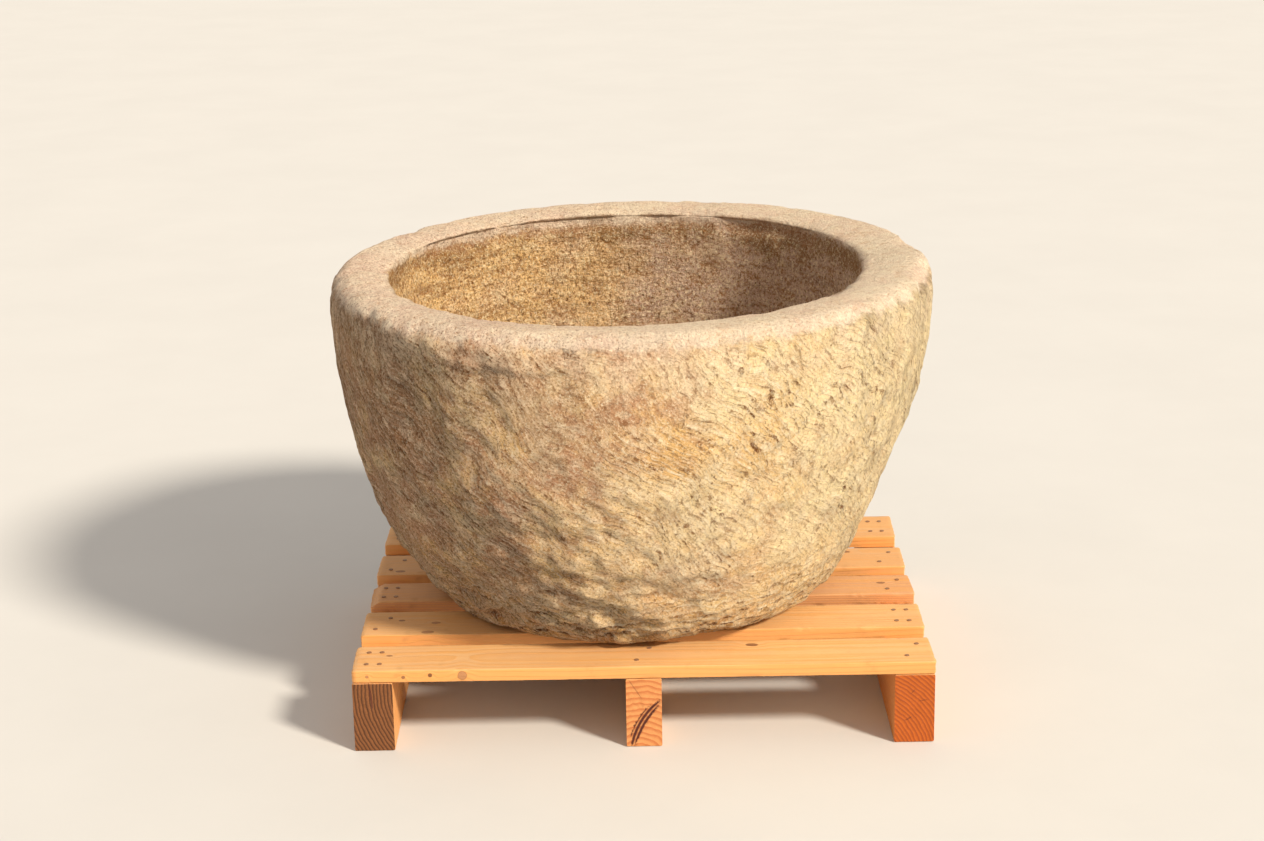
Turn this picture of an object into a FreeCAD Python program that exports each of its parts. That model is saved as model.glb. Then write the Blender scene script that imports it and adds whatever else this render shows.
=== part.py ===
"""Stone baptismal font standing on its timber pallet.

The font is a tub cut from one block of limestone: a flat foot, a rounded heel, a bulging flank, a broad
flat rim and a bowl with a drain in its floor. A turned oak plug closes the drain. The font only rests
on the pallet, which is three skids running front to back with five deck boards nailed across them.

Frame: millimetres, +Z up, X along the deck boards, -Y the front of the pallet. The origin is on the
floor under the font's axis. The font stands towards the back of the pallet and a little to its left.
"""

import FreeCAD, Part

import math
import os

# Font basin, heights counted from the underside of its foot
basin_height = 489.0
basin_radius = 432.0          # widest outer radius, just below the rim
widest_drop = 45.0            # how far below the rim the bulging flank turns upright
flank_arc_radius = 700.0      # curve of the flank in section
heel_radius = 80.0            # rounding between the foot and the flank
rim_width = 90.0              # thickness of the wall at the rim
rim_round = 28.0              # rounding of the rim's outer edge
lip_round = 12.0              # rounding of the rim's inner edge
bowl_arc_radius = 800.0       # curve of the bowl's wall in section
bowl_corner_radius = 130.0    # rounding between the bowl's wall and its floor
floor_thickness = 115.0       # stone under the bowl

# Drain through the middle of the floor, and the plug that closes it
drain_radius = 20.0
seat_depth = 50.0             # the tapered plug seat, above the drain
seat_ledge = 4.0              # how much wider than the drain the seat is at its foot
seat_flare = 4.0              # how much wider still it is at its mouth
plug_clearance = 0.3          # gap between the plug's stem and its seat
plug_stem_gap = 4.0           # space left under the stem
plug_flange_overlap = 8.0     # how far the plug's flange laps past the seat's mouth
plug_flange_thickness = 9.0
plug_flange_round = 3.0
plug_neck_radius = 9.0
plug_neck_height = 12.0
plug_knob_radius = 17.0

# Pallet
pallet_right_shift = 7.0      # how far its centre lies to the right of the font's axis
pallet_front_shift = 41.0     # how far its centre lies in front of the font's axis
pallet_length = 800.0         # along the deck boards
board_thickness = 19.0
board_widths = [90.0, 90.0, 78.0, 86.0, 98.0]    # front to back
board_gaps = [38.0, 39.0, 34.0, 47.0]            # between one board and the next
skid_height = 101.0
outer_skid_width = 56.0
centre_skid_width = 50.0
edge_chamfer = 1.5            # eased long edges of boards and skids

# Nails, driven flush through the boards into the skids
nail_length = 65.0
nail_radius = 1.4
nail_head_radius = 3.2
nail_head_thickness = 1.4
nail_point_length = 4.0
nail_clearance = 0.05         # gap between a nail and the wood around it
nail_edge_share = 0.27        # distance of a nail from the board's edge, as a share of its width
nail_stagger = 9.0            # how far the nails of a pair stand off the skid's centreline
extra_nail_pairs = [(1, "right"), (4, "right"), (0, "left"), (2, "left")]    # board, skid

# Worked out from the above
deck_depth = sum(board_widths) + sum(board_gaps)
deck_front = -pallet_front_shift - deck_depth / 2
deck_left = pallet_right_shift - pallet_length / 2
deck_top = skid_height + board_thickness
bowl_radius = basin_radius - rim_width
widest_height = basin_height - widest_drop
seat_bottom_radius = drain_radius + seat_ledge
seat_top_radius = seat_bottom_radius + seat_flare


def section_point(radius, height):
    """A point of a turned profile, which is drawn in the XZ plane."""
    return FreeCAD.Vector(radius, 0, height)


def arc_between(centre, start, end):
    """The shorter arc about centre from start to end, all in the XZ plane."""
    radius = (start - centre).Length
    middle = (start - centre) + (end - centre)
    middle.normalize()
    return Part.Arc(start, centre + middle * radius, end).toShape()


def line_between(start, end):
    return Part.LineSegment(start, end).toShape()


def turned(edges, base_height=0.0):
    """The solid that a closed profile in the XZ plane sweeps round the Z axis."""
    face = Part.Face(Part.Wire(edges))
    solid = face.revolve(FreeCAD.Vector(0, 0, 0), FreeCAD.Vector(0, 0, 1), 360)
    solid.translate(FreeCAD.Vector(0, 0, base_height))
    return solid


def corner_blend(wall_centre, wall_radius, floor_height, corner_radius):
    """Where a corner of corner_radius meets a curved wall from inside and the level floor below it.

    Returns the corner's centre, its point on the floor and its point on the wall.
    """
    reach = wall_radius - corner_radius
    drop = wall_centre.z - (floor_height + corner_radius)
    centre = section_point(wall_centre.x + math.sqrt(reach**2 - drop**2), floor_height + corner_radius)
    on_floor = section_point(centre.x, floor_height)
    on_wall = wall_centre + (centre - wall_centre) * (wall_radius / reach)
    return centre, on_floor, on_wall


def make_basin():
    """The stone tub: one turned profile with the drain and its plug seat through the floor."""
    flank_centre = section_point(basin_radius - flank_arc_radius, widest_height)
    heel_centre, foot_edge, heel_top = corner_blend(flank_centre, flank_arc_radius, 0.0, heel_radius)
    widest = section_point(basin_radius, widest_height)
    rim_side = section_point(basin_radius, basin_height - rim_round)
    rim_outer = section_point(basin_radius - rim_round, basin_height)
    rim_inner = section_point(bowl_radius + lip_round, basin_height)
    bowl_top = section_point(bowl_radius, basin_height - lip_round)
    bowl_centre = section_point(bowl_radius - bowl_arc_radius, basin_height - lip_round)
    corner_centre, floor_edge, corner_top = corner_blend(
        bowl_centre, bowl_arc_radius, floor_thickness, bowl_corner_radius
    )
    seat_top = section_point(seat_top_radius, floor_thickness)
    seat_bottom = section_point(seat_bottom_radius, floor_thickness - seat_depth)
    drain_top = section_point(drain_radius, floor_thickness - seat_depth)
    drain_bottom = section_point(drain_radius, 0)
    profile = [
        line_between(drain_bottom, foot_edge),
        arc_between(heel_centre, foot_edge, heel_top),
        arc_between(flank_centre, heel_top, widest),
        line_between(widest, rim_side),
        arc_between(section_point(rim_outer.x, rim_side.z), rim_side, rim_outer),
        line_between(rim_outer, rim_inner),
        arc_between(section_point(rim_inner.x, bowl_top.z), rim_inner, bowl_top),
        arc_between(bowl_centre, bowl_top, corner_top),
        arc_between(corner_centre, corner_top, floor_edge),
        line_between(floor_edge, seat_top),
        line_between(seat_top, seat_bottom),
        line_between(seat_bottom, drain_top),
        line_between(drain_top, drain_bottom),
    ]
    return turned(profile, deck_top)


def make_plug():
    """The turned oak plug: a tapered stem in the seat, a flange on the bowl's floor, and a knob to lift it by."""
    stem_length = seat_depth - plug_stem_gap
    stem_top_radius = seat_top_radius - plug_clearance
    stem_foot_radius = stem_top_radius - seat_flare * stem_length / seat_depth
    flange_radius = seat_top_radius + plug_flange_overlap
    flange_top = plug_flange_thickness
    knob_centre_height = flange_top + plug_neck_height + math.sqrt(plug_knob_radius**2 - plug_neck_radius**2)
    stem_foot = section_point(stem_foot_radius, -stem_length)
    stem_top = section_point(stem_top_radius, 0)
    flange_foot = section_point(flange_radius, 0)
    flange_side = section_point(flange_radius, flange_top - plug_flange_round)
    flange_edge = section_point(flange_radius - plug_flange_round, flange_top)
    neck_foot = section_point(plug_neck_radius, flange_top)
    neck_top = section_point(plug_neck_radius, flange_top + plug_neck_height)
    knob_top = section_point(0, knob_centre_height + plug_knob_radius)
    knob_side = section_point(plug_knob_radius, knob_centre_height)
    profile = [
        line_between(section_point(0, -stem_length), stem_foot),
        line_between(stem_foot, stem_top),
        line_between(stem_top, flange_foot),
        line_between(flange_foot, flange_side),
        arc_between(section_point(flange_edge.x, flange_side.z), flange_side, flange_edge),
        line_between(flange_edge, neck_foot),
        line_between(neck_foot, neck_top),
        Part.Arc(neck_top, knob_side, knob_top).toShape(),
        line_between(knob_top, section_point(0, -stem_length)),
    ]
    return turned(profile, deck_top + floor_thickness)


def eased_timber(length_x, length_y, height, corner, along):
    """A sawn timber with its four long edges, those along the given axis, chamfered."""
    timber = Part.makeBox(length_x, length_y, height, corner)
    axis = FreeCAD.Vector(*along)
    long_edges = [e for e in timber.Edges if abs(e.tangentAt(e.FirstParameter).dot(axis)) > 0.99]
    return timber.makeChamfer(edge_chamfer, long_edges)


def board_front(index):
    """The Y of the front edge of deck board number index, counted from 0 at the front."""
    return deck_front + sum(board_widths[:index]) + sum(board_gaps[:index])


def skid_spans():
    """Each skid's lowest X and its width."""
    return {
        "left": (deck_left, outer_skid_width),
        "centre": (pallet_right_shift - centre_skid_width / 2, centre_skid_width),
        "right": (deck_left + pallet_length - outer_skid_width, outer_skid_width),
    }


def nail_places(index):
    """The X and Y of every nail in a deck board: a pair at each skid, and a second pair at some."""
    places = []
    for name, (low_x, width) in skid_spans().items():
        middle = low_x + width / 2
        near = board_front(index) + nail_edge_share * board_widths[index]
        far = board_front(index) + (1 - nail_edge_share) * board_widths[index]
        places += [(middle - nail_stagger, near), (middle + nail_stagger, far)]
        if (index, name) in extra_nail_pairs:
            places += [(middle + nail_stagger, near), (middle - nail_stagger, far)]
    return places


def make_nail(x, y, gap=0.0):
    """A flat-headed nail whose head lies flush with the deck. A gap makes the hole that it sits in."""
    head_radius = nail_head_radius + gap
    shank_radius = nail_radius + gap
    head_foot = deck_top - nail_head_thickness - gap
    point_top = deck_top - nail_length + nail_point_length - gap
    head = Part.makeCylinder(head_radius, deck_top - head_foot, FreeCAD.Vector(x, y, head_foot))
    shank = Part.makeCylinder(shank_radius, head_foot - point_top, FreeCAD.Vector(x, y, point_top))
    point = Part.makeCone(
        0, shank_radius, nail_point_length, FreeCAD.Vector(x, y, point_top - nail_point_length)
    )
    return head.fuse([shank, point]).removeSplitter()


def make_boards(holes):
    """The deck boards, each with its own nail holes."""
    boards = {}
    for index, width in enumerate(board_widths):
        corner = FreeCAD.Vector(deck_left, board_front(index), skid_height)
        board = eased_timber(pallet_length, width, board_thickness, corner, (1, 0, 0))
        boards[f"deck_board_{index + 1}"] = board.cut(holes[index])
    return boards


def make_skids(holes):
    """The skids, with the lower ends of the nail holes of every board."""
    skids = {}
    every_hole = [hole for row in holes for hole in row]
    for name, (low_x, width) in skid_spans().items():
        corner = FreeCAD.Vector(low_x, deck_front, 0)
        skid = eased_timber(width, deck_depth, skid_height, corner, (0, 1, 0))
        own = [hole for hole in every_hole if low_x < hole.BoundBox.Center.x < low_x + width]
        skids[f"skid_{name}"] = skid.cut(own)
    return skids


def make_parts():
    rows = [nail_places(index) for index in range(len(board_widths))]
    holes = [[make_nail(x, y, nail_clearance) for x, y in row] for row in rows]
    parts = {"font_basin": make_basin(), "drain_plug": make_plug()}
    parts.update(make_boards(holes))
    parts.update(make_skids(holes))
    parts["deck_nails"] = Part.makeCompound([make_nail(x, y) for row in rows for x, y in row])
    return parts


os.makedirs("parts", exist_ok=True)
for node, shape in make_parts().items():
    if not shape.isValid() or not shape.Solids:
        raise ValueError(f"{node} is not a valid solid")
    shape.exportStep(f"parts/{node}.step")
    print(node, len(shape.Solids), "solids", round(shape.Volume), "mm3")
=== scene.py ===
"""The look of a limestone baptismal font, its oak drain plug and the softwood pallet that it stands on.

Lengths are in metres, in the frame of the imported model: +Z up, X along the deck boards and -Y the front of
the pallet. The stone is one closed grid, the tub's section carried round the Z axis and then worked over
as a mason would: lumps, dressed facets, slanting pick marks, pits and chips. The timbers are rounded
sections carried along their length, and their colour is worked out from growth rings round a pith line.
"""

import math
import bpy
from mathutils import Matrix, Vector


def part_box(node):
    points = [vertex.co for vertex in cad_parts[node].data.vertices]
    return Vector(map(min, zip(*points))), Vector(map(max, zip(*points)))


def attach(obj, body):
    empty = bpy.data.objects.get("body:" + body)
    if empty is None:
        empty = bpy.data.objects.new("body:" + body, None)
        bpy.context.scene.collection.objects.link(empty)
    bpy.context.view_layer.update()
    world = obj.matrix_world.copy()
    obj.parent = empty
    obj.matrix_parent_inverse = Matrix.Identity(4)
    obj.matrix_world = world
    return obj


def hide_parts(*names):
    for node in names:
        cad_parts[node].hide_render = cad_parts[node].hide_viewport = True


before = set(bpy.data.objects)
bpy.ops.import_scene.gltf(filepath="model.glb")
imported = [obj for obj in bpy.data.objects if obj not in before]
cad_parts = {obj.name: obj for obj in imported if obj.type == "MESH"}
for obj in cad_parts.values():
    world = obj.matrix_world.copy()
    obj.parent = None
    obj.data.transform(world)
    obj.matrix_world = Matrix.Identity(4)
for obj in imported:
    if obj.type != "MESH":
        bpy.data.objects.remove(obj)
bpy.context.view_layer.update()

from types import SimpleNamespace

import bpy
import numpy as np
from bpy.props import FloatProperty, FloatVectorProperty, IntProperty, PointerProperty
from mathutils import Matrix, Vector

bl_info = {
    "name": "Baptismal Font",
    "version": (1, 0, 0),
    "blender": (4, 5, 0),
    "location": "View3D > Sidebar > Font",
    "description": "Builds a weathered stone font, its plug and its pallet around a fixed frame",
    "category": "Add Mesh",
}

FULL_TURN = 2 * math.pi
BOARDS = tuple(f"deck_board_{number}" for number in range(1, 6))
SKIDS = ("skid_left", "skid_centre", "skid_right")


def node_size(name):
    """The lowest corner, the highest corner and the size of a node of the frame, as arrays."""
    low, high = (np.array(corner, float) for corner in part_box(name))
    return low, high, high - low


# ---- Settings ----


def length(name, default, description, top=1.0):
    return FloatProperty(
        name=name, default=default, min=0.0, max=top, unit="LENGTH", precision=4, description=description
    )


def share(name, default, description, top=1.0):
    return FloatProperty(name=name, default=default, min=0.0, max=top, description=description)


def degrees(name, default, description):
    return FloatProperty(name=name, default=math.radians(default), subtype="ANGLE", description=description)


def count(name, default, description):
    return IntProperty(name=name, default=default, min=1, max=1000, description=description)


def colour(name, default, description):
    return FloatVectorProperty(
        name=name, default=default, size=3, min=0.0, max=1.0, subtype="COLOR", description=description
    )


class FontStoneSettings(bpy.types.PropertyGroup):
    """Sizes and colours of the stone tub."""

    rim_width: length("Rim width", 0.090, "Thickness of the wall at the rim")
    rim_round: length("Rim rounding", 0.028, "Rounding of the rim's outer edge")
    lip_round: length("Lip rounding", 0.012, "Rounding of the rim's inner edge")
    widest_drop: length("Widest drop", 0.045, "How far below the rim the flank turns upright")
    flank_radius: length("Flank radius", 0.70, "Radius of the bulging flank in section", 3.0)
    heel_radius: length("Heel radius", 0.08, "Rounding between the foot and the flank")
    bowl_wall_radius: length("Bowl wall radius", 0.8, "Radius of the bowl's wall in section", 3.0)
    bowl_corner_radius: length("Bowl corner radius", 0.13, "Rounding between the bowl's wall and floor")
    floor_thickness: length("Floor thickness", 0.115, "Stone under the bowl")
    drain_radius: length("Drain radius", 0.02, "Radius of the drain")
    seat_ledge: length("Seat ledge", 0.004, "How much wider than the drain the plug's seat is at its foot")
    seat_flare: length("Seat flare", 0.004, "How much wider still the seat is at its mouth")
    seat_depth: length("Seat depth", 0.05, "Depth of the plug's seat")
    columns: count("Columns", 456, "Faces round the tub")
    tool_reach: length("Tool reach", 0.40, "Radius of the cylinder on which the strokes are laid out")
    tool_twist: share("Tool twist", 2.4, "Radians round for each metre that a stroke falls", 10.0)
    lump_depth: length("Lump depth", 0.0050, "Slow unevenness left by the first shaping")
    facet_slope: share("Facet slope", 0.07, "Steepness of the dressed facets")
    pick_slope: share("Pick slope", 0.21, "Steepness of the slanting pick marks")
    grain_depth: length("Grain depth", 0.0016, "Coarse grain of the broken stone")
    knob_depth: length("Knob depth", 0.0022, "Knobs as wide as a thumb, left between the strokes")
    undercut: length("Undercut", 0.013, "How far the heel is broken away from below at the front right")
    bedding_slope: share("Bedding slope", 0.42, "Steepness of the level bedding steps near the foot")
    pit_depth: length("Pit depth", 0.0045, "Depth of the deepest pits")
    chip_depth: length("Chip depth", 0.006, "Depth of the chips along the rim's edges")
    rim_fall: length("Rim fall", 0.005, "How far the rim falls towards the bowl")
    dressed_depth: length("Dressed depth", 0.0035, "How far the front left was dressed back")
    step_depth: length("Step depth", 0.012, "Depth of the broken step below the lip, on the far side")
    toe_depth: length("Toe depth", 0.008, "How far the iron-stained toe stands out of the heel")
    left_bulge: length("Left bulge", 0.009, "How much fuller the left side is than the turned shape")
    right_hollow: length("Right hollow", 0.015, "How much leaner the right side is than the turned shape")
    lean: share("Lean", 0.012, "How far the tub leans to the left, as rise over run")
    bowl_shift: length("Bowl shift", 0.009, "How far the bowl's mouth lies to the left of the tub's axis")
    honey: colour("Honey", (0.90, 0.60, 0.28), "Freshly broken stone")
    cream: colour("Cream", (0.98, 0.77, 0.49), "Worn and bruised stone")
    ochre: colour("Ochre", (0.90, 0.52, 0.17), "Iron-stained stone")
    # umber is also the painted shadow at the foot of each pick mark and the painted shade of the left's dark
    # grains
    umber: colour("Umber", (0.20, 0.082, 0.026), "Dirt in the hollows")
    # this mauve-brown is also painted shade in the marks' hollows and on the shaded left side
    crust_and_shade: colour("Crust", (0.54, 0.285, 0.17), "Mauve-brown crust")
    # this purple-brown is also painted shade on the bowl's right wall, which faces away from the key light
    damp: colour("Damp", (0.66, 0.48, 0.42), "Purple-brown stain of old water")


class FontPalletSettings(bpy.types.PropertyGroup):
    """Sizes and colours of the pallet."""

    edge_round: length("Edge rounding", 0.0018, "Rounding of the timbers' long edges")
    cell: length("Face length", 0.005, "Length of the timbers' faces")
    deck_sink: length("Deck sink", 0.0005, "How far the boards lie below the heads of the nails")
    waviness: length("Waviness", 0.0009, "Unevenness of the sawn faces")
    nick_depth: length("Nick depth", 0.0016, "Depth of the nicks along the edges")
    pale: colour("Pale", (0.80, 0.49, 0.225), "Early wood of the deck")
    amber: colour("Amber", (0.76, 0.37, 0.11), "Late wood of the deck")
    rosy: colour("Rosy", (0.62, 0.32, 0.18), "Heartwood of the deck")
    knot: colour("Knot", (0.17, 0.065, 0.022), "Knots and resin")
    resin: colour("Resin", (0.085, 0.020, 0.012), "Streaks of resin and cracks")
    steel: colour("Steel", (0.36, 0.25, 0.17), "Nail heads")


class FontPlugSettings(bpy.types.PropertyGroup):
    """Sizes and colours of the drain plug."""

    columns: count("Columns", 72, "Faces round the plug")
    stem_length: length("Stem length", 0.046, "Length of the tapered stem")
    flange_height: length("Flange height", 0.009, "Thickness of the flange")
    neck_length: length("Neck length", 0.012, "Height of the neck between the flange and the knob")
    neck_radius: length("Neck radius", 0.009, "Radius of the neck")
    knob_radius: length("Knob radius", 0.017, "Radius of the knob")
    groove_depth: length("Groove depth", 0.0004, "Depth of the grooves that the turning left")
    groove_gap: length("Groove gap", 0.0042, "Distance between the grooves")
    oak: colour("Oak", (0.34, 0.185, 0.085), "Early wood of the plug")
    dark_oak: colour("Dark oak", (0.145, 0.068, 0.028), "Late wood of the plug")


class FontStageSettings(bpy.types.PropertyGroup):
    """The floor, the lights and the camera."""

    floor: colour("Floor", (0.67, 0.68, 0.70), "The floor")
    sky: colour("Sky", (1.0, 0.91, 0.80), "Light from all round")
    sky_strength: share("Sky strength", 0.62, "Strength of the light from all round", 10.0)
    key: colour("Key", (1.0, 0.88, 0.70), "The main light, from the right and the front")
    key_strength: share("Key strength", 4.4, "Strength of the main light", 20.0)
    key_height: degrees("Key height", 36, "Height of the main light")
    key_side: degrees("Key side", 49, "How far right of the front it is")
    key_softness: degrees("Key softness", 9, "Apparent size of the main light")
    lens: FloatProperty(name="Lens", default=68.4, min=1.0, unit="CAMERA", description="Focal length in mm")
    eye_back: length("Eye distance", 3.377, "How far the camera stands in front of the centre", 20.0)
    eye_left: length("Eye offset", 0.003, "How far the camera stands to the left of the centre", 20.0)
    eye_height: length("Eye height", 1.409, "Height of the camera", 20.0)
    pitch: degrees("Pitch", 17.16, "How far the camera looks down")
    roll: degrees("Roll", 0.95, "How far the camera leans")


# ---- Noise ----


def corner_values(cell, seed):
    """A repeatable value from -1 to 1 for each whole-number corner: its coordinates times large odd
    numbers, summed, mixed by shifts and cut to sixteen bits."""
    mixed = cell @ np.array([374761393, 668265263, 1442695041]) + seed * 1274126177
    mixed = mixed & 0xFFFFFFFF
    mixed = ((mixed ^ (mixed >> 13)) * 1274126177) & 0xFFFFFFFF
    mixed = mixed ^ (mixed >> 16)
    return (mixed & 0xFFFF) / 32767.5 - 1.0


def smooth_noise(points, seed):
    """Value noise from -1 to 1: the values of a unit cell's eight corners, weighted by the quintic step
    6t^5 - 15t^4 + 10t^3 along each axis."""
    cell = np.floor(points).astype(np.int64)
    part = points - cell
    part = part**3 * (part * (part * 6 - 15) + 10)
    total = np.zeros(points.shape[:-1])
    for corner in np.ndindex(2, 2, 2):
        weight = np.prod(np.where(corner, part, 1 - part), axis=-1)
        total += weight * corner_values(cell + np.array(corner), seed)
    return total


def layered_noise(points, seed, layers=4):
    """A sum of smooth noise, each layer twice as fine and half as strong as the one before."""
    total = sum(smooth_noise(points * 2.0**n, seed + n) * 0.5**n for n in range(layers))
    return total / (2 - 0.5 ** (layers - 1))


def nearest_cells(points, seed):
    """With a random centre in each unit cell: the distance and the offset to the nearest centre, and its
    cell."""
    base = np.floor(points).astype(np.int64)
    nearest = np.full(points.shape[:-1], np.inf)
    offset = np.zeros(points.shape)
    chosen = np.zeros(points.shape[:-1] + (3,), np.int64)
    for step in np.ndindex(3, 3, 3):
        cell = base + np.array(step) - 1
        centre = cell + np.stack([corner_values(cell, seed + axis) * 0.5 + 0.5 for axis in range(3)], -1)
        gap = points - centre
        distance = np.linalg.norm(gap, axis=-1)
        closer = distance < nearest
        nearest = np.where(closer, distance, nearest)
        offset = np.where(closer[..., None], gap, offset)
        chosen = np.where(closer[..., None], cell, chosen)
    return nearest, offset, chosen


def rise(value, low, high):
    """0 below low, 1 above high, and the cubic step 3t^2 - 2t^3 between. High may be the smaller."""
    t = np.clip((value - low) / (high - low), 0, 1)
    return t * t * (3 - 2 * t)


def between(angle, opens, closes):
    """1 in a sector of the round. Opens and closes hold where each edge starts and ends, in degrees."""
    (a, b), (c, d) = np.radians(opens), np.radians(closes)
    return rise(angle, a, b) * rise(angle, d, c)


def hump(value, middle, width):
    """A bell, exp(-x^2), that is 1 at the middle and falls off over the width."""
    return np.exp(-(((value - middle) / width) ** 2))


# ---- Meshes ----


def grid_faces(rows, columns, wrap_rows):
    """The corner numbers of the four-sided faces of a grid of points, row by row, that always closes round
    its columns and closes from its last row to its first if wrap_rows is true."""
    number = np.arange(rows * columns).reshape(rows, columns)
    here = number if wrap_rows else number[:-1]
    above = np.roll(number, -1, 0) if wrap_rows else number[1:]
    corners = [here, np.roll(here, -1, 1), np.roll(above, -1, 1), above]
    return np.stack(corners, -1).reshape(-1, 4)


def closed_piece(name, points, wrap_rows=False, attributes=None, sharp=None):
    """A closed mesh from a grid of points (rows, columns, 3). A grid that doesn't wrap its rows is closed
    at each end by a fan round the mean of its end row. Faces are turned to point outwards by the sign of
    the volume, the sum of a . (b x c) / 6 over the faces' triangles."""
    rows, columns = points.shape[:2]
    flat = points.reshape(-1, 3)
    quads = grid_faces(rows, columns, wrap_rows)
    fans = np.zeros((0, 3), int)
    if not wrap_rows:
        flat = np.vstack([flat, points[0].mean(0), points[-1].mean(0)])
        ring = np.arange(columns)
        after = np.roll(ring, -1)
        last = (rows - 1) * columns
        first_pole, last_pole = rows * columns, rows * columns + 1
        low_fan = np.stack([after, ring, np.full(columns, first_pole)], -1)
        high_fan = np.stack([last + ring, last + after, np.full(columns, last_pole)], -1)
        fans = np.vstack([low_fan, high_fan])
    triangles = np.vstack([quads[:, :3], quads[:, [0, 2, 3]], fans])
    a, b, c = (flat[triangles[:, corner]] for corner in range(3))
    if np.sum(a * np.cross(b, c)) < 0:
        quads, fans = quads[:, ::-1], fans[:, ::-1]
    mesh = bpy.data.meshes.new(name)
    mesh.from_pydata(flat.tolist(), [], quads.tolist() + fans.tolist())
    for key, values in (attributes or {}).items():
        kind = "FLOAT_VECTOR" if values.ndim == 3 else "FLOAT"
        flat_values = values.reshape(rows * columns, -1)
        if not wrap_rows:
            ends = [values[0].reshape(columns, -1).mean(0), values[-1].reshape(columns, -1).mean(0)]
            flat_values = np.vstack([flat_values, ends])
        layer = mesh.attributes.new(key, kind, "POINT")
        field = "vector" if values.ndim == 3 else "value"
        layer.data.foreach_set(field, flat_values.astype(np.float32).ravel())
    mesh.shade_smooth()
    if sharp:
        mesh.set_sharp_from_angle(angle=sharp)
    piece = bpy.data.objects.new(name, mesh)
    bpy.context.scene.collection.objects.link(piece)
    return piece


def straight(start, end, steps):
    """Points from start towards end, without end."""
    share_along = np.arange(steps)[:, None] / steps
    return np.array(start) * (1 - share_along) + np.array(end) * share_along


def bend(centre, radius, first, last, steps):
    """Points of an arc from the first angle towards the last, in radians, without its end."""
    angle = first + (last - first) * np.arange(steps) / steps
    return np.array(centre) + radius * np.stack([np.cos(angle), np.sin(angle)], -1)


def outward(section):
    """The unit normals of a closed section that runs anticlockwise: the direction from the point before to
    the point after, turned a right angle clockwise."""
    along = np.roll(section, -1, 0) - np.roll(section, 1, 0)
    along /= np.linalg.norm(along, axis=1)[:, None]
    return np.stack([along[:, 1], -along[:, 0]], -1)


# ---- The stone ----

# How wide, deep and tall the cells are that the tub's surface is broken into, in metres
FACETS = np.array([0.060, 0.060, 0.046])
LONG_STROKES = np.array([0.019, 0.019, 0.036])
SHORT_STROKES = np.array([0.013, 0.013, 0.022])
LEDGES = np.array([0.075, 0.075, 0.020])
PIT_GAP = 0.036
# Sectors of the round, in degrees from the right: where each edge opens and closes
DRESSED_SECTOR = ((188, 206), (256, 268))
BROKEN_SECTOR = ((258, 288), (325, 372))
TOE_ANGLE = math.radians(226)
# The depth of the marks, from the deepest hollow to the highest crest, that the relief mask spans
RELIEF_RANGE = 0.014


def corner_blend(wall_centre, wall_radius, floor_height, corner_radius):
    """Where a rounded corner meets a curved wall from inside and the level floor below it: the corner's
    centre and the angle at which it leaves for the wall."""
    reach = wall_radius - corner_radius
    drop = wall_centre[1] - (floor_height + corner_radius)
    centre = (wall_centre[0] + math.sqrt(reach**2 - drop**2), floor_height + corner_radius)
    return centre, math.atan2(-drop, centre[0] - wall_centre[0])


def basin_section(stone, radius, height):
    """The tub's closed section as radius and height above the foot, anticlockwise from the drain's lower
    edge: foot, heel, flank, rim, bowl, floor, seat, drain. Beside each point stands how rough the mason
    left it, from 0 to 1, and which stretch of the outline it is on."""
    bowl = radius - stone.rim_width
    widest = height - stone.widest_drop
    flank_centre = (radius - stone.flank_radius, widest)
    heel, heel_angle = corner_blend(flank_centre, stone.flank_radius, 0.0, stone.heel_radius)
    bowl_top = height - stone.lip_round
    bowl_centre = (bowl - stone.bowl_wall_radius, bowl_top)
    corner, corner_angle = corner_blend(
        bowl_centre, stone.bowl_wall_radius, stone.floor_thickness, stone.bowl_corner_radius
    )
    seat_foot = stone.drain_radius + stone.seat_ledge
    seat_mouth = seat_foot + stone.seat_flare
    floor = stone.floor_thickness
    seat_height = floor - stone.seat_depth
    rim_outer = (radius - stone.rim_round, height - stone.rim_round)
    rim_inner = (bowl + stone.lip_round, height - stone.lip_round)
    drain = stone.drain_radius
    quarter = math.pi / 2
    stretches = [
        ("foot", straight((drain, 0), (heel[0], 0), 10), 0.0, 0.5),
        ("heel", bend(heel, stone.heel_radius, -quarter, heel_angle, 16), 0.5, 1.0),
        ("flank", bend(flank_centre, stone.flank_radius, heel_angle, 0, 82), 1.0, 1.0),
        ("brow", straight((radius, widest), (radius, rim_outer[1]), 4), 1.0, 0.9),
        ("edge", bend(rim_outer, stone.rim_round, 0, quarter, 11), 0.9, 0.25),
        ("rim", straight((rim_outer[0], height), (rim_inner[0], height), 13), 0.14, 0.12),
        ("lip", bend(rim_inner, stone.lip_round, quarter, 2 * quarter, 6), 0.12, 0.7),
        ("wall", bend(bowl_centre, stone.bowl_wall_radius, 0, corner_angle, 46), 0.7, 0.8),
        ("corner", bend(corner, stone.bowl_corner_radius, corner_angle, -quarter, 13), 0.8, 0.6),
        ("floor", straight((corner[0], floor), (seat_mouth, floor), 9), 0.6, 0.0),
        ("seat", straight((seat_mouth, floor), (seat_foot, seat_height), 4), 0.0, 0.0),
        ("ledge", straight((seat_foot, seat_height), (drain, seat_height), 1), 0.0, 0.0),
        ("drain", straight((drain, seat_height), (drain, 0), 3), 0.0, 0.0),
    ]
    outline = np.vstack([points for _, points, _, _ in stretches])
    rough = np.concatenate([np.linspace(a, b, len(points)) for _, points, a, b in stretches])
    place = np.concatenate([[name] * len(points) for name, points, _, _ in stretches])
    return outline, rough, place


def softened(values):
    """Each value averaged with its four neighbours on the grid, which count for half."""
    beside = sum(np.roll(values, step, axis) for axis in (0, 1) for step in (-1, 1))
    return 0.5 * values + 0.125 * beside


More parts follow.
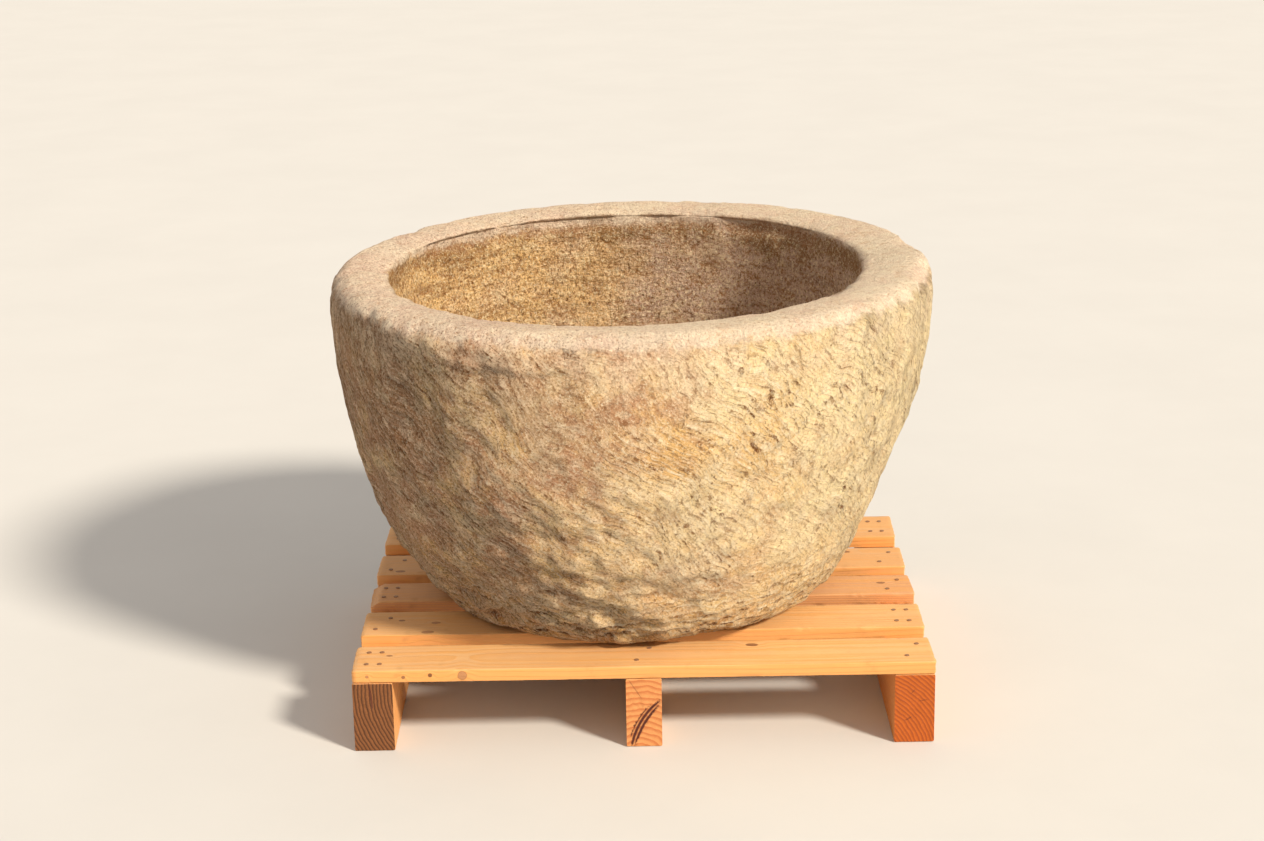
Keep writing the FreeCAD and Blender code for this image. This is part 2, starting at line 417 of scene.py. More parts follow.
def slanted(angle, along, radius, twist):
    """Coordinates in which the mason's strokes stand upright: the angle round the tub turns by twist for
    each metre along the section, and is laid on a cylinder so that it has no seam."""
    turned = angle + twist * along
    return np.stack([radius * np.cos(turned), radius * np.sin(turned), along + 0 * turned], -1)


def shingles(points, cell_size, lean_way, seed):
    """The height, in metres for a slope of 1, of a surface broken into cells that each lean the same way
    and a little at random, so that it drops in a step from each cell to the next: the distance from the
    cell's centre along a direction, times a random steepness."""
    _, offset, cell = nearest_cells(points / cell_size, seed)
    steep = 0.65 + 0.35 * corner_values(cell, seed + 5)
    stray = np.stack([corner_values(cell, seed + 10 + axis) for axis in range(3)], -1) * 0.35
    return -steep * np.sum(offset * cell_size * (lean_way + stray), -1)


def lay_out(stone):
    """The tub's grid before it is worked: a row for each point of the section with its radius, height and
    normal, a column for each angle, and for each stretch of the section a mask that is 1 on its rows."""
    low, high, size = node_size("font_basin")
    tub = SimpleNamespace(radius=size[0] / 2, height=size[2], centre=(low + high) / 2, foot=low[2])
    outline, rough, place = basin_section(stone, tub.radius, tub.height)
    tub.normal = outward(outline)
    steps = np.linalg.norm(np.diff(outline, axis=0, prepend=outline[:1]), axis=1)
    tub.along = np.cumsum(steps)[:, None]
    tub.angle = (np.arange(stone.columns) * FULL_TURN / stone.columns)[None, :]
    tub.r, tub.h = outline[:, :1], outline[:, 1:]
    tub.rough = rough[:, None]
    tub.where = np.stack([tub.r * np.cos(tub.angle), tub.r * np.sin(tub.angle), tub.h + 0 * tub.angle], -1)
    on = {name: (place == name)[:, None].astype(float) for name in set(place)}
    tub.on = on
    tub.outside = on["heel"] + on["flank"] + on["brow"] + on["edge"]
    tub.inside = on["lip"] + on["wall"] + on["corner"] + on["floor"]
    tub.below_rim = on["wall"] + on["lip"] * rise(tub.h, tub.height, tub.height - stone.lip_round)
    tub.hewn = 1 - tub.below_rim - on["corner"] - on["floor"]
    tub.right, tub.front = np.cos(tub.angle), -np.sin(tub.angle)
    return tub


def mason_marks(stone, tub):
    """How far the mason's tools and the broken stone stand out along the normal: the marks and the slow
    lumps. Also gives the coordinates in which the strokes stand upright, and their strength."""
    angle, h, where, rough = tub.angle, tub.h, tub.where, tub.rough
    on, outside, right = tub.on, tub.outside, tub.right
    # slow unevenness from the first shaping
    lumps = stone.lump_depth * layered_noise(where / 0.27, 11, 3)
    # dressed facets: each cell a plane with its own random tilt
    warped = where + 0.018 * layered_noise(where / 0.05, 5, 2)[..., None]
    facets = stone.facet_slope * shingles(warped, FACETS, np.zeros(3), 21) * 3
    # slanting strokes of the pick: narrow cells that lean one way, in two sizes, with a ragged outline
    wander = 0.10 * layered_noise(where / 0.12, 41, 2) + 0.030 * layered_noise(where / 0.030, 43, 3)
    strokes = slanted(angle + wander, tub.along, stone.tool_reach, stone.tool_twist)
    turned_way = np.stack([-strokes[..., 1], strokes[..., 0], 0 * strokes[..., 0]], -1) / stone.tool_reach
    strength = 0.30 + 0.70 * rise(layered_noise(where / 0.10, 47, 3) - 0.35 * right, -0.35, 0.25)
    picks = shingles(strokes, LONG_STROKES, turned_way, 51)
    picks = picks + 0.9 * shingles(strokes + 0.01, SHORT_STROKES, turned_way, 61)
    picks = stone.pick_slope * strength * picks * (0.3 + 0.7 * outside)
    knobs = stone.knob_depth * layered_noise(where / 0.034, 65, 2) * (1 + rise(h, 0.26, 0.10) * outside)
    grain = knobs + stone.grain_depth * layered_noise(where / 0.014, 68, 2)
    # level bedding steps near the foot, undercut from below
    wavy = where + np.array([0, 0, 1]) * (0.016 * layered_noise(where / 0.09, 71, 3))[..., None]
    ledges = shingles(wavy, LEDGES, np.array([0, 0, 1.0]), 72)
    bedded = outside * rise(h, 0.22, 0.05) * (0.25 + 0.75 * rise(right, 0.35, -0.2))
    bedding = stone.bedding_slope * ledges * bedded
    # scattered pits
    distance, _, cell = nearest_cells(where / PIT_GAP, 81)
    pits = -stone.pit_depth * rise(distance, 0.34, 0.05) * (corner_values(cell, 84) > 0.45)
    # the marks fade towards the rim, and the sharpest of them are worn down
    picks = picks * (1 - 0.7 * on["edge"] - 0.4 * on["brow"])
    shaped = rough * (facets + picks + grain + pits) * (1 - 0.3 * rise(h, 0.25, 0.40) * outside)
    marks = softened(softened(shaped) + rough * bedding)
    # the rim is flat and the bowl isn't, so the lumps come back over the lip
    lumps = lumps * rise(rough, 0.0, 0.3) * (1 - 0.6 * rise(h, 0.32, tub.height - 0.03) * tub.hewn)
    return marks, lumps, strokes, strength


def wear(stone, tub):
    """What use and weather took off or left standing, in metres along the normal: the chips along the rim's
    edges, the broken step below the lip, the face dressed back at the front left, and the stained toe."""
    angle, r, h, where = tub.angle, tub.r, tub.h, tub.where
    on, height = tub.on, tub.height
    # the rim's edges: chipped where a slow noise is high, and nibbled all round
    chance = rise(layered_noise(where / 0.06, 91, 3), 0.10, 0.5)
    chance = chance + 0.35 * rise(layered_noise(where / 0.018, 92, 2), -0.1, 0.5)
    edge_zone = hump(r, tub.radius, 0.030) * hump(h, height, 0.030) * (on["edge"] + on["rim"] + on["brow"])
    lip_zone = hump(r, tub.radius - stone.rim_width, 0.016) * hump(h, height, 0.016) * (on["rim"] + on["lip"])
    chips = -stone.chip_depth * chance * (edge_zone + 0.8 * lip_zone)
    # the front left was dressed back below a slanting edge under the rim
    edge_height = height - 0.010 - 0.036 * rise(angle, math.radians(198), math.radians(246))
    edge_height = edge_height + 0.007 * layered_noise(where / 0.03, 97, 3)
    sector = between(angle, *DRESSED_SECTOR)
    below_edge = rise(h, edge_height, edge_height - 0.008) * rise(h, 0.25, 0.36)
    dressed = -stone.dressed_depth * sector * below_edge * tub.outside
    bare = sector * rise(h, edge_height, edge_height - 0.01) * rise(h, 0.28, 0.40) * tub.outside
    # a narrow broken step below the lip, on the far side
    ragged = 0.010 * layered_noise(where / 0.035, 95, 3)
    far = rise(-tub.front, 0.30, 0.75) * (0.6 + 0.4 * layered_noise(where / 0.06, 96, 2))
    step = -stone.step_depth * far * rise(h, height - 0.034 + ragged, height - 0.026 + ragged)
    step = step * tub.below_rim
    # an iron-stained toe that stands out of the heel at the front left
    toe = rise(layered_noise(where / 0.05, 99, 2), -0.5, 0.3) * hump(angle, TOE_ANGLE, 0.28)
    toe = toe * hump(h, 0.020, 0.022) * (on["heel"] + on["flank"])
    return SimpleNamespace(chips=chips, step=step, dressed=dressed, toe=toe, bare=bare)


def make_basin(stone):
    """The tub: every point of the section carried round the axis and moved along the section's normal by
    the sum of the mason's and the weather's marks, each a formula in angle and distance along the section.
    The whole is then sheared, so that it leans to the left, and stays flat where it would sink."""
    tub = lay_out(stone)
    marks, lumps, strokes, strength = mason_marks(stone, tub)
    worn = wear(stone, tub)
    angle, r, h, where = tub.angle, tub.r, tub.h, tub.where
    on, inside, outside, height = tub.on, tub.inside, tub.outside, tub.height
    right, front = tub.right, tub.front

    # the whole block is fuller on the left and leaner on the right
    left_side, right_side = np.clip(-right, 0, 1), np.clip(right, 0, 1)
    block = stone.left_bulge * left_side * hump(h, 0.14, 0.12)
    block = block - stone.right_hollow * right_side * hump(h, 0.20, 0.12)
    moved = marks + lumps + worn.chips + worn.step + worn.dressed
    moved = moved + block * outside + stone.toe_depth * worn.toe
    # the rim falls towards the bowl
    across_rim = (r - tub.radius + stone.rim_width) / stone.rim_width
    level = on["rim"] + on["lip"] * rise(h, height - stone.lip_round, height)
    fall = stone.rim_fall * (rise(across_rim, 0.0, 0.55) - 1) * level
    new_r = r + moved * tub.normal[:, :1]
    new_h = h + moved * tub.normal[:, 1:] + fall
    x, y = new_r * np.cos(angle), new_r * np.sin(angle)
    # the bowl's mouth lies to the left, and the tub leans to the left, more and more with height
    loose = np.where(outside + on["rim"] > 0, 1, rise(h, stone.floor_thickness, height))
    loose = np.where(on["foot"] > 0, rise(r, 0.05, 0.18), loose)
    mouth = inside * rise(h, stone.floor_thickness, height) + on["rim"] * rise(across_rim, 0.8, 0.1)
    x = x - stone.bowl_shift * mouth
    new_h = new_h + stone.lean * x * loose
    # the heel is broken away from below at the front right
    gone = between(angle, *BROKEN_SECTOR)
    broken = 1 + 0.25 * layered_noise(where / 0.03, 94, 2)
    under = stone.undercut * gone * rise(r, 0.10, 0.20) * broken
    new_h = np.where(on["foot"] + outside > 0, np.maximum(new_h, under), new_h)
    points = np.stack([x + tub.centre[0], y + tub.centre[1], new_h + tub.foot], -1)

    # masks for the stone's material: where it is worn, stained or freshly dressed, and how far the marks
    # stand out, from which the material paints shade in the hollows and highlight on the high points
    full = np.ones_like(angle)
    below_lip = height - 0.008 - 0.012 * rise(-front, 0.0, 0.8) * rise(right, 0.8, 0.1)
    rubbed = (on["lip"] + on["wall"]) * rise(h, below_lip - 0.014, below_lip + 0.008)
    rubbed = rubbed + on["rim"] + on["edge"] * rise(h, height - 0.030, height - 0.004)
    upper_flank = (on["brow"] + on["edge"] + on["flank"]) * rise(h, height - 0.11, height - 0.02)
    attributes = {
        "tooling": strokes,
        "worn": np.clip(rubbed, 0, 1) * full,
        "brow": np.clip(upper_flank, 0, 1) * full,
        "inside": np.clip(1 - tub.hewn + on["seat"] + on["drain"] + on["ledge"], 0, 1) * full,
        "relief": np.clip(0.5 + (marks + worn.chips + worn.step) / RELIEF_RANGE, 0, 1),
        "strokes": strength * full,
        "stained": np.clip(worn.toe, 0, 1),
        "bare": np.clip(worn.bare, 0, 1),
    }
    piece = closed_piece("font_stone", points, True, attributes, math.radians(60))
    piece.data.materials.append(limestone(stone))
    return piece


# ---- The timbers ----


def rounded_section(width, depth, corner, cell):
    """A rounded rectangle about its centre, anticlockwise from the lower left: its four sides cut to the
    cell's length, and three points to a corner. Returns its points."""
    a, b = width / 2 - corner, depth / 2 - corner
    quarter = math.pi / 2
    across, up = max(2, round(2 * a / cell)), max(2, round(2 * b / cell))
    runs = [
        straight((-a, -b - corner), (a, -b - corner), across),
        bend((a, -b), corner, -quarter, 0, 3),
        straight((a + corner, -b), (a + corner, b), up),
        bend((a, b), corner, 0, quarter, 3),
        straight((a, b + corner), (-a, b + corner), across),
        bend((-a, b), corner, quarter, 2 * quarter, 3),
        straight((-a - corner, b), (-a - corner, -b), up),
        bend((-a, -b), corner, 2 * quarter, 3 * quarter, 3),
    ]
    return np.vstack(runs)


def timber(name, low, high, along_x, pallet, seed, bevel, top_drop=0.0):
    """A sawn timber: a rounded rectangle carried along its length, closed at each end by shrinking rings.
    Every point moves along the section's normal by slow noise, and across it by the saw's chatter. The
    bevel (length, drop) lowers the top towards the timber's first end in a straight slope."""
    size = high - low
    axis, side = (0, 1) if along_x else (1, 0)
    run, width, depth = size[axis], size[side], size[2]
    section = rounded_section(width, depth, pallet.edge_round, pallet.cell)
    normal = outward(section)
    body = np.linspace(pallet.edge_round, run - pallet.edge_round, max(8, round(run / pallet.cell)))
    shrink = np.array([0.15, 0.35, 0.55, 0.75, 0.9])
    nearly = 1 - pallet.edge_round / depth
    scale = np.concatenate([shrink, [nearly], np.ones(len(body)), [nearly], shrink[::-1]])
    ends = np.zeros(len(shrink) + 1)
    place = np.concatenate([ends, body, ends + run])
    across = section[:, 0][None, :] * scale[:, None]
    up = section[:, 1][None, :] * scale[:, None]
    t = np.broadcast_to(place[:, None], across.shape)
    where = np.stack([t, across, up], -1)
    on_body = (scale == 1.0)[:, None]
    slow = layered_noise(where / np.array([0.16, 0.05, 0.05]) + seed, seed, 3)
    edge = np.abs(normal[:, 0] * normal[:, 1])[None, :] * 2
    nicks = rise(layered_noise(where / np.array([0.03, 0.02, 0.02]) + seed, seed + 5, 2), 0.25, 0.7) * edge
    chatter = smooth_noise(where / np.array([0.004, 0.5, 0.5]) + seed, seed + 9) * 0.15
    moved = pallet.waviness * (slow * 0.5 - 0.5 + chatter) - pallet.nick_depth * nicks
    across = across + np.where(on_body, moved * normal[:, 0], 0)
    up = up + np.where(on_body, moved * normal[:, 1], 0)
    grain_end = pallet.waviness * layered_noise(where / 0.006 + seed, seed + 3, 2)
    t = t + np.where(on_body, 0, grain_end * (1 - 2 * (t > run / 2)))
    lean = 0.004 * smooth_noise(np.array([[seed, 0.5, 0.5]]), 3)[0]
    t = t + lean * across / width * (1 if along_x else 0)
    slope = rise(-t, -bevel[0], 0) * (up > 0)
    up = up - bevel[1] * slope * (up / (depth / 2))
    up = up - top_drop * rise(up, 0, depth / 2)
    middle = (low + high) / 2
    points = np.empty(where.shape)
    points[..., axis] = low[axis] + t
    points[..., side] = middle[side] + across
    points[..., 2] = middle[2] + up
    return closed_piece(name, points, sharp=math.radians(60))


# ---- Shader nodes ----


class Graph:
    """Adds nodes to a node tree and links them. An input is a number, a colour or another node's output."""

    def __init__(self, tree):
        self.tree = tree

    def feed(self, socket, value):
        if isinstance(value, bpy.types.NodeSocket):
            self.tree.links.new(value, socket)
        elif socket.type == "RGBA" and len(value) == 3:
            socket.default_value = (*value, 1.0)
        else:
            socket.default_value = value

    def add(self, kind, inputs=(), **settings):
        node = self.tree.nodes.new(f"ShaderNode{kind}")
        for key, value in settings.items():
            setattr(node, key, value)
        for key, value in dict(inputs).items():
            self.feed(node.inputs[key], value)
        return node

    def math(self, operation, *values, clamp=False):
        inputs = dict(enumerate(values))
        return self.add("Math", inputs, operation=operation, use_clamp=clamp).outputs[0]

    def times(self, a, b):
        return self.math("MULTIPLY", a, b)

    def times_plus(self, a, b, c):
        return self.math("MULTIPLY_ADD", a, b, c)

    def vector(self, operation, a, b):
        return self.add("VectorMath", {0: a, 1: b}, operation=operation).outputs[0]

    def parts(self, vector):
        return self.add("SeparateXYZ", {0: vector}).outputs

    def lots(self, colour):
        """Three values from 0 to 1, each of them the same all over a cell that has this colour."""
        return self.add("SeparateColor", {0: colour}).outputs

    def scale_vector(self, a, factor):
        return self.add("VectorMath", {0: a, "Scale": factor}, operation="SCALE").outputs[0]

    def spread(self, value, low, high, to_low=0.0, to_high=1.0):
        """A smooth step from low to high, as a value from to_low to to_high."""
        inputs = {"Value": value, "From Min": low, "From Max": high, "To Min": to_low, "To Max": to_high}
        return self.add("MapRange", inputs, interpolation_type="SMOOTHSTEP").outputs[0]

    def mix(self, factor, a, b):
        """Colour a with b laid over it by factor."""
        return self.add("Mix", {0: factor, 6: a, 7: b}, data_type="RGBA").outputs[2]

    def lay(self, base, colour, mask, most):
        """The colour laid over base by the mask, and by most where the mask is 1."""
        return self.mix(self.times(mask, most), base, colour)

    def tint(self, base, colour, value, low, high, most, mask=None):
        """The colour laid over base where the value steps from low to high, by most at high."""
        factor = self.spread(value, low, high, 0.0, most)
        return self.mix(factor if mask is None else self.times(mask, factor), base, colour)

    def emboss(self, shader, height):
        """Feed the shader's normal from a height in metres."""
        bump = self.add("Bump", {"Height": height, "Strength": 1.0, "Distance": 1.0})
        self.feed(shader["Normal"], bump.outputs[0])

    def noise(self, vector, scale, detail=4.0, rough=0.55, output="Fac"):
        inputs = {"Vector": vector, "Scale": scale, "Detail": detail, "Roughness": rough}
        return self.add("TexNoise", inputs).outputs[output]

    def shake(self, vector, scale, detail, rough=0.5):
        """A random vector for each place, from -0.5 to 0.5 along each axis."""
        return self.vector("SUBTRACT", self.noise(vector, scale, detail, rough, "Color"), (0.5, 0.5, 0.5))

    def scaled(self, vector, scale, place=(0, 0, 0), turn=(0, 0, 0)):
        inputs = {"Vector": vector, "Location": place, "Rotation": turn, "Scale": scale}
        return self.add("Mapping", inputs).outputs[0]

    def placed(self, vector, centre, reach, turn):
        """Coordinates about a centre, turned and divided by how far the thing reaches along each axis."""
        inputs = {"Vector": vector, "Location": centre, "Rotation": turn, "Scale": reach}
        return self.add("Mapping", inputs, vector_type="TEXTURE").outputs[0]

    def group(self, tree, **inputs):
        node = self.tree.nodes.new("ShaderNodeGroup")
        node.node_tree = tree
        for key, value in inputs.items():
            self.feed(node.inputs[key.replace("_", " ")], value)
        return node.outputs


def node_group(name, inputs, outputs, fill):
    """The shader node group of that name, made once. Inputs are {name: default}, a vector where the default
    is None. fill(graph, inputs) returns {output: value}."""
    if name in bpy.data.node_groups:
        return bpy.data.node_groups[name]
    tree = bpy.data.node_groups.new(name, "ShaderNodeTree")
    for key, default in inputs.items():
        kind = "NodeSocketVector" if default is None else "NodeSocketFloat"
        socket = tree.interface.new_socket(name=key, in_out="INPUT", socket_type=kind)
        if default is not None:
            socket.default_value = default
    for key in outputs:
        tree.interface.new_socket(name=key, in_out="OUTPUT", socket_type="NodeSocketFloat")
    graph = Graph(tree)
    source = tree.nodes.new("NodeGroupInput").outputs
    sink = tree.nodes.new("NodeGroupOutput").inputs
    for key, value in fill(graph, source).items():
        tree.links.new(value, sink[key])
    return tree


def mottling():
    """Cloudy patches: layered noise of a given scale, stepped smoothly between two levels."""

    def fill(g, source):
        cloud = g.noise(source["Vector"], source["Scale"], source["Detail"], 0.6)
        return {"Mask": g.spread(cloud, source["Low"], source["High"])}

    inputs = {"Vector": None, "Scale": 5.0, "Detail": 4.0, "Low": 0.35, "High": 0.65}
    return node_group("Mottling", inputs, ["Mask"], fill)


def speckle():
    """Small round spots: one cell of a random pattern in every few is chosen, and holds a spot."""

    def fill(g, source):
        inputs = {"Vector": source["Vector"], "Scale": source["Scale"]}
        cells = g.add("TexVoronoi", inputs)
        lot = g.lots(cells.outputs["Color"])[0]
        chosen = g.math("LESS_THAN", lot, source["Share"])
        edge = g.times(source["Size"], 0.45)
        spot = g.spread(cells.outputs["Distance"], source["Size"], edge)
        return {"Mask": g.times(chosen, spot)}

    inputs = {"Vector": None, "Scale": 100.0, "Share": 0.3, "Size": 0.4}
    return node_group("Speckle", inputs, ["Mask"], fill)


def patches():
    """Patches of differing stone with ragged outlines, each with its own random value."""

    def fill(g, source):
        shake = g.scale_vector(g.shake(source["Vector"], g.math("DIVIDE", 1.6, source["Size"]), 5.0), 1.3)
        spot = g.scale_vector(source["Vector"], g.math("DIVIDE", 1.0, source["Size"]))
        cells = g.add("TexVoronoi", {"Vector": g.vector("ADD", spot, shake), "Scale": 1.0}).outputs
        return {"Lot": g.lots(cells["Color"])[0]}

    return node_group("Patches", {"Vector": None, "Size": 0.03}, ["Lot"], fill)


def pick_marks():
    """Strokes laid out on an upright cylinder: long cells that each lean the same way round it and a little
    at random, so that a step stands between each and the next. Gives their height in metres for a slope of
    1, the painted shadow at the foot of each step and the painted highlight on the crest above it. With Level
    at 1 they lean outwards downwards instead, as ledges do that are broken from below."""

    def fill(g, source):
        shake = g.shake(source["Vector"], g.math("DIVIDE", 1.1, source["Width"]), 4.0, 0.6)
        shake = g.scale_vector(shake, g.times(source["Width"], source["Ragged"]))
        spot = g.vector("ADD", source["Vector"], shake)
        sizes = {0: source["Width"], 1: source["Width"], 2: source["Length"]}
        cell_size = g.add("CombineXYZ", sizes).outputs[0]
        spot = g.vector("DIVIDE", spot, cell_size)
        cells = g.add("TexVoronoi", {"Vector": spot, "Scale": 1.0}).outputs
        lot = g.lots(cells["Color"])
        gap = g.vector("SUBTRACT", spot, cells["Position"])
        flat = g.vector("MULTIPLY", spot, (1, 1, 0))
        flat = g.add("VectorMath", {0: flat}, operation="NORMALIZE").outputs[0]
        lean = g.parts(g.vector("CROSS_PRODUCT", flat, gap))[2]
        up = g.parts(gap)[2]
        lean = g.times_plus(up, g.times(g.math("SUBTRACT", lot[1], 0.5), 1.2), lean)
        lean = g.times_plus(g.math("SUBTRACT", up, lean), source["Level"], lean)
        steep = g.times_plus(lot[0], 0.8, 0.35)
        height = g.times(g.times(lean, steep), g.times(source["Width"], -1.0))
        trough = g.times(g.spread(lean, 0.20, 0.42), g.times(steep, 1.1))
        crest = g.times(g.spread(lean, -0.16, -0.42), g.times(steep, 1.1))
        return {"Height": height, "Trough": trough, "Crest": crest}

    inputs = {"Vector": None, "Width": 0.012, "Length": 0.03, "Ragged": 0.5, "Level": 0.0}
    return node_group("Pick Marks", inputs, ["Height", "Trough", "Crest"], fill)


def growth_rings():
    """Growth rings round the X axis of their coordinates. The distance from the axis, made to wander slowly
    along the grain, is counted in ring gaps, and each ring darkens towards its outer edge."""

    def fill(g, source):
        v = source["Vector"]
        axes = g.parts(v)
        slow = g.noise(g.vector("MULTIPLY", v, (1.5, 5.0, 5.0)), 1.0, 2.0)
        away = g.math("SQRT", g.times_plus(axes[1], axes[1], g.times(axes[2], axes[2])))
        away = g.times_plus(g.math("SUBTRACT", slow, 0.5), source["Wander"], away)
        rings = g.math("ADD", g.math("DIVIDE", away, source["Gap"]), source["Shift"])
        uneven = g.noise(g.vector("MULTIPLY", v, (3.0, 60.0, 60.0)), 1.0, 2.0)
        rings = g.times_plus(uneven, 0.9, rings)
        part = g.math("FRACT", rings)
        late = g.times(g.spread(part, 0.25, 0.86), g.spread(part, 1.0, 0.93))
        fibre = g.noise(g.vector("MULTIPLY", v, (14.0, 620.0, 620.0)), 1.0, 3.0, 0.6)
        streak = g.noise(g.vector("MULTIPLY", v, (2.2, 70.0, 70.0)), 1.0, 3.0)
        return {"Late": late, "Fibre": fibre, "Streak": streak}

    inputs = {"Vector": None, "Gap": 0.004, "Wander": 0.03, "Shift": 0.0}
    return node_group("Growth Rings", inputs, ["Late", "Fibre", "Streak"], fill)


def resin_streak():
    """A streak of resin, or a crack: a spindle bowed along its length, with ragged edges and finer lines
    side by side in it. Along and Off are its own coordinates, 1 at its ends and its edges."""

    def fill(g, source):
        along = source["Along"]
        off = g.math("SUBTRACT", source["Off"], g.times(g.times(along, along), source["Bow"]))
        reach = g.math("SQRT", g.times_plus(along, along, g.times(off, off)))
        ragged = g.noise(source["Vector"], 210.0, 3.0)
        reach = g.times_plus(g.math("SUBTRACT", ragged, 0.5), 0.9, reach)
        lines = g.spread(g.math("SINE", g.times(off, 9.0)), -0.8, 0.0, 0.30, 1.0)
        return {"Mask": g.times(g.spread(reach, 1.05, 0.75), lines)}

    inputs = {"Vector": None, "Along": 0.0, "Off": 0.0, "Bow": 0.0}
    return node_group("Resin Streak", inputs, ["Mask"], fill)


def knots():
    """A knot, the root of a branch that ran upright through the timber: a disc with its own rings, and a
    swirl round it that pushes the growth rings aside."""

    def fill(g, source):
        gap = g.vector("SUBTRACT", source["Vector"], source["Centre"])
        flat = g.vector("MULTIPLY", gap, source["Stretch"])
        distance = g.add("VectorMath", {0: flat}, operation="LENGTH").outputs["Value"]
        ragged = g.noise(source["Vector"], 160.0, 2.0)
        reach = g.math("DIVIDE", distance, source["Radius"])
        reach = g.times_plus(g.math("SUBTRACT", ragged, 0.5), 0.45, reach)
        disc = g.spread(reach, 1.08, 0.86)
        swirl = g.math("EXPONENT", g.times(g.times(reach, reach), -0.16))
        own = g.math("FRACT", g.times(reach, 3.2))
        bark = g.times(g.spread(reach, 0.78, 0.98), g.spread(reach, 1.25, 1.02))
        own = g.times(g.times_plus(own, 0.35, source["Dead"]), disc)
        dark = g.math("MAXIMUM", g.times(bark, g.times_plus(source["Dead"], 0.5, 0.5)), own)
        return {
            "Disc": g.math("MAXIMUM", source["Disc"], disc),
            "Shift": g.times_plus(swirl, 1.2, source["Shift"]),
            "Dark": g.math("MAXIMUM", source["Dark"], dark),
        }

    inputs = {
        "Vector": None, "Centre": None, "Stretch": None, "Radius": 0.01, "Dead": 0.5,
        "Disc": 0.0, "Shift": 0.0, "Dark": 0.0,
    }
    return node_group("Knot", inputs, ["Disc", "Shift", "Dark"], fill)


def new_material(name):
    """An empty material with its graph, its Principled shader and the object's coordinates."""
    material = bpy.data.materials.new(name)
    material.use_nodes = True
    tree = material.node_tree
    tree.nodes.clear()
    graph = Graph(tree)
    shader = graph.add("BsdfPrincipled")
    tree.links.new(shader.outputs[0], graph.add("OutputMaterial").inputs["Surface"])
    return material, graph, shader.inputs, graph.add("TexCoord").outputs["Object"]


def attribute(graph, name, socket="Fac"):
    return graph.add("Attribute", attribute_name=name).outputs[socket]


# Tints of the stone
RUST = (0.66, 0.33, 0.12)           # spots of iron
STRAW = (1.0, 0.85, 0.52)           # the right side, partly its own paler tone and partly painted light
BONE = (0.96, 0.84, 0.62)           # pale flecks
BROW = (0.92, 0.74, 0.56)           # bloom under the rim
BARE = (0.42, 0.25, 0.13)           # the face dressed back
TIDE = (1.0, 0.66, 0.28)            # the old water's ochre
RIPPLE_SHADE = (0.44, 0.22, 0.09)    # painted shade in the hollows of the bowl's tooling
RIPPLE_HIGHLIGHT = (1.0, 0.80, 0.52)     # painted highlight on the ridges of the bowl's tooling
LIP_BAND_BROWN = (0.33, 0.17, 0.06)           # darker brown band below the lip
SAND_DARK = (0.40, 0.20, 0.08)      # dark grains in the bowl
SAND_PALE = (1.0, 0.84, 0.55)       # pale grains in the bowl
CREST_HIGHLIGHT = (1.0, 0.90, 0.64)          # painted highlight on the crests
LEFT_CREST_HIGHLIGHT = (0.97, 0.73, 0.52)    # painted highlight on the crests of the shaded left, pinker
RIM_CREAM = (0.84, 0.72, 0.59)      # the worn rim
RIM_PINK = (0.80, 0.61, 0.51)       # its pinker clouds
SCRATCH_PALE = (0.94, 0.80, 0.62)   # pale scratches on it
SCRATCH_DARK = (0.60, 0.38, 0.24)   # dark scratches on it
CRUMB_DARK = (0.60, 0.38, 0.25)     # dark grains in it
CRUMB_PALE = (1.0, 0.90, 0.74)      # pale grains in it
GRIT_PALE = (1.0, 0.89, 0.68)       # the finest pale grains


def bowl_stains(g, stone, tone, spot, inside, cloud, ripples, crumbs):
    """The stains of old water laid over the tone inside the bowl: ochre, and purple-brown on the right that
    is partly stain and partly painted shade on the wall that faces away from the key light, in level bands,
    with a darker brown band below the lip, painted shade and highlight on the tooling's ripples, and sand in
    the hollows."""
    x, _, z = g.parts(spot)
    sand = g.noise(spot, 200.0, 4.0, 0.7)
    side = g.times_plus(g.math("SUBTRACT", cloud, 0.5), 0.22, x)
    bands = g.noise(g.scaled(spot, (5, 5, 46)), 1.0, 4.0, 0.6)
    tone = g.lay(tone, TIDE, inside, 0.70)
    # purple-brown on the right wall: partly old water's stain, partly painted shade where the wall faces away
    # from the key light
    tone = g.tint(tone, stone.damp, side, -0.28, 0.18, 0.88, inside)
    tone = g.tint(tone, stone.umber, bands, 0.50, 0.66, 0.34, inside)
    # painted shade in the ripples' hollows and painted highlight on their ridges
    tone = g.tint(tone, RIPPLE_SHADE, ripples, 0.50, 0.66, 0.75, inside)
    tone = g.tint(tone, RIPPLE_HIGHLIGHT, ripples, 0.48, 0.36, 0.45, inside)
    # a darker brown band just below the lip
    lip_band = g.times_plus(g.spread(z, 0.52, 0.590), 0.34, g.noise(spot, 11.0, 8.0, 0.7))
    lip_band = g.times_plus(crumbs, 0.30, lip_band)
    tone = g.tint(tone, LIP_BAND_BROWN, lip_band, 0.80, 0.98, 0.80, inside)
    tone = g.tint(tone, SAND_DARK, sand, 0.51, 0.62, 0.85, inside)
    tone = g.tint(tone, SAND_PALE, sand, 0.48, 0.36, 0.70, inside)
    return tone


def worn_rim(g, spot, crumbs):
    """The worn rim's colour: cream and pink clouds under scratches and crumbs."""
    blush = g.group(mottling(), Vector=spot, Scale=12.0, Low=0.38, High=0.70)["Mask"]
    rim = g.mix(blush, RIM_CREAM, RIM_PINK)
    scratch = g.noise(g.scaled(spot, (18, 46, 60), turn=(0, 0, 0.5)), 1.0, 5.0, 0.7)
    rim = g.tint(rim, SCRATCH_PALE, scratch, 0.52, 0.72, 0.42)
    rim = g.tint(rim, SCRATCH_DARK, scratch, 0.44, 0.28, 0.55)
    rim = g.tint(rim, CRUMB_DARK, crumbs, 0.47, 0.34, 0.70)
    rim = g.tint(rim, CRUMB_PALE, crumbs, 0.53, 0.64, 0.70)
    return rim


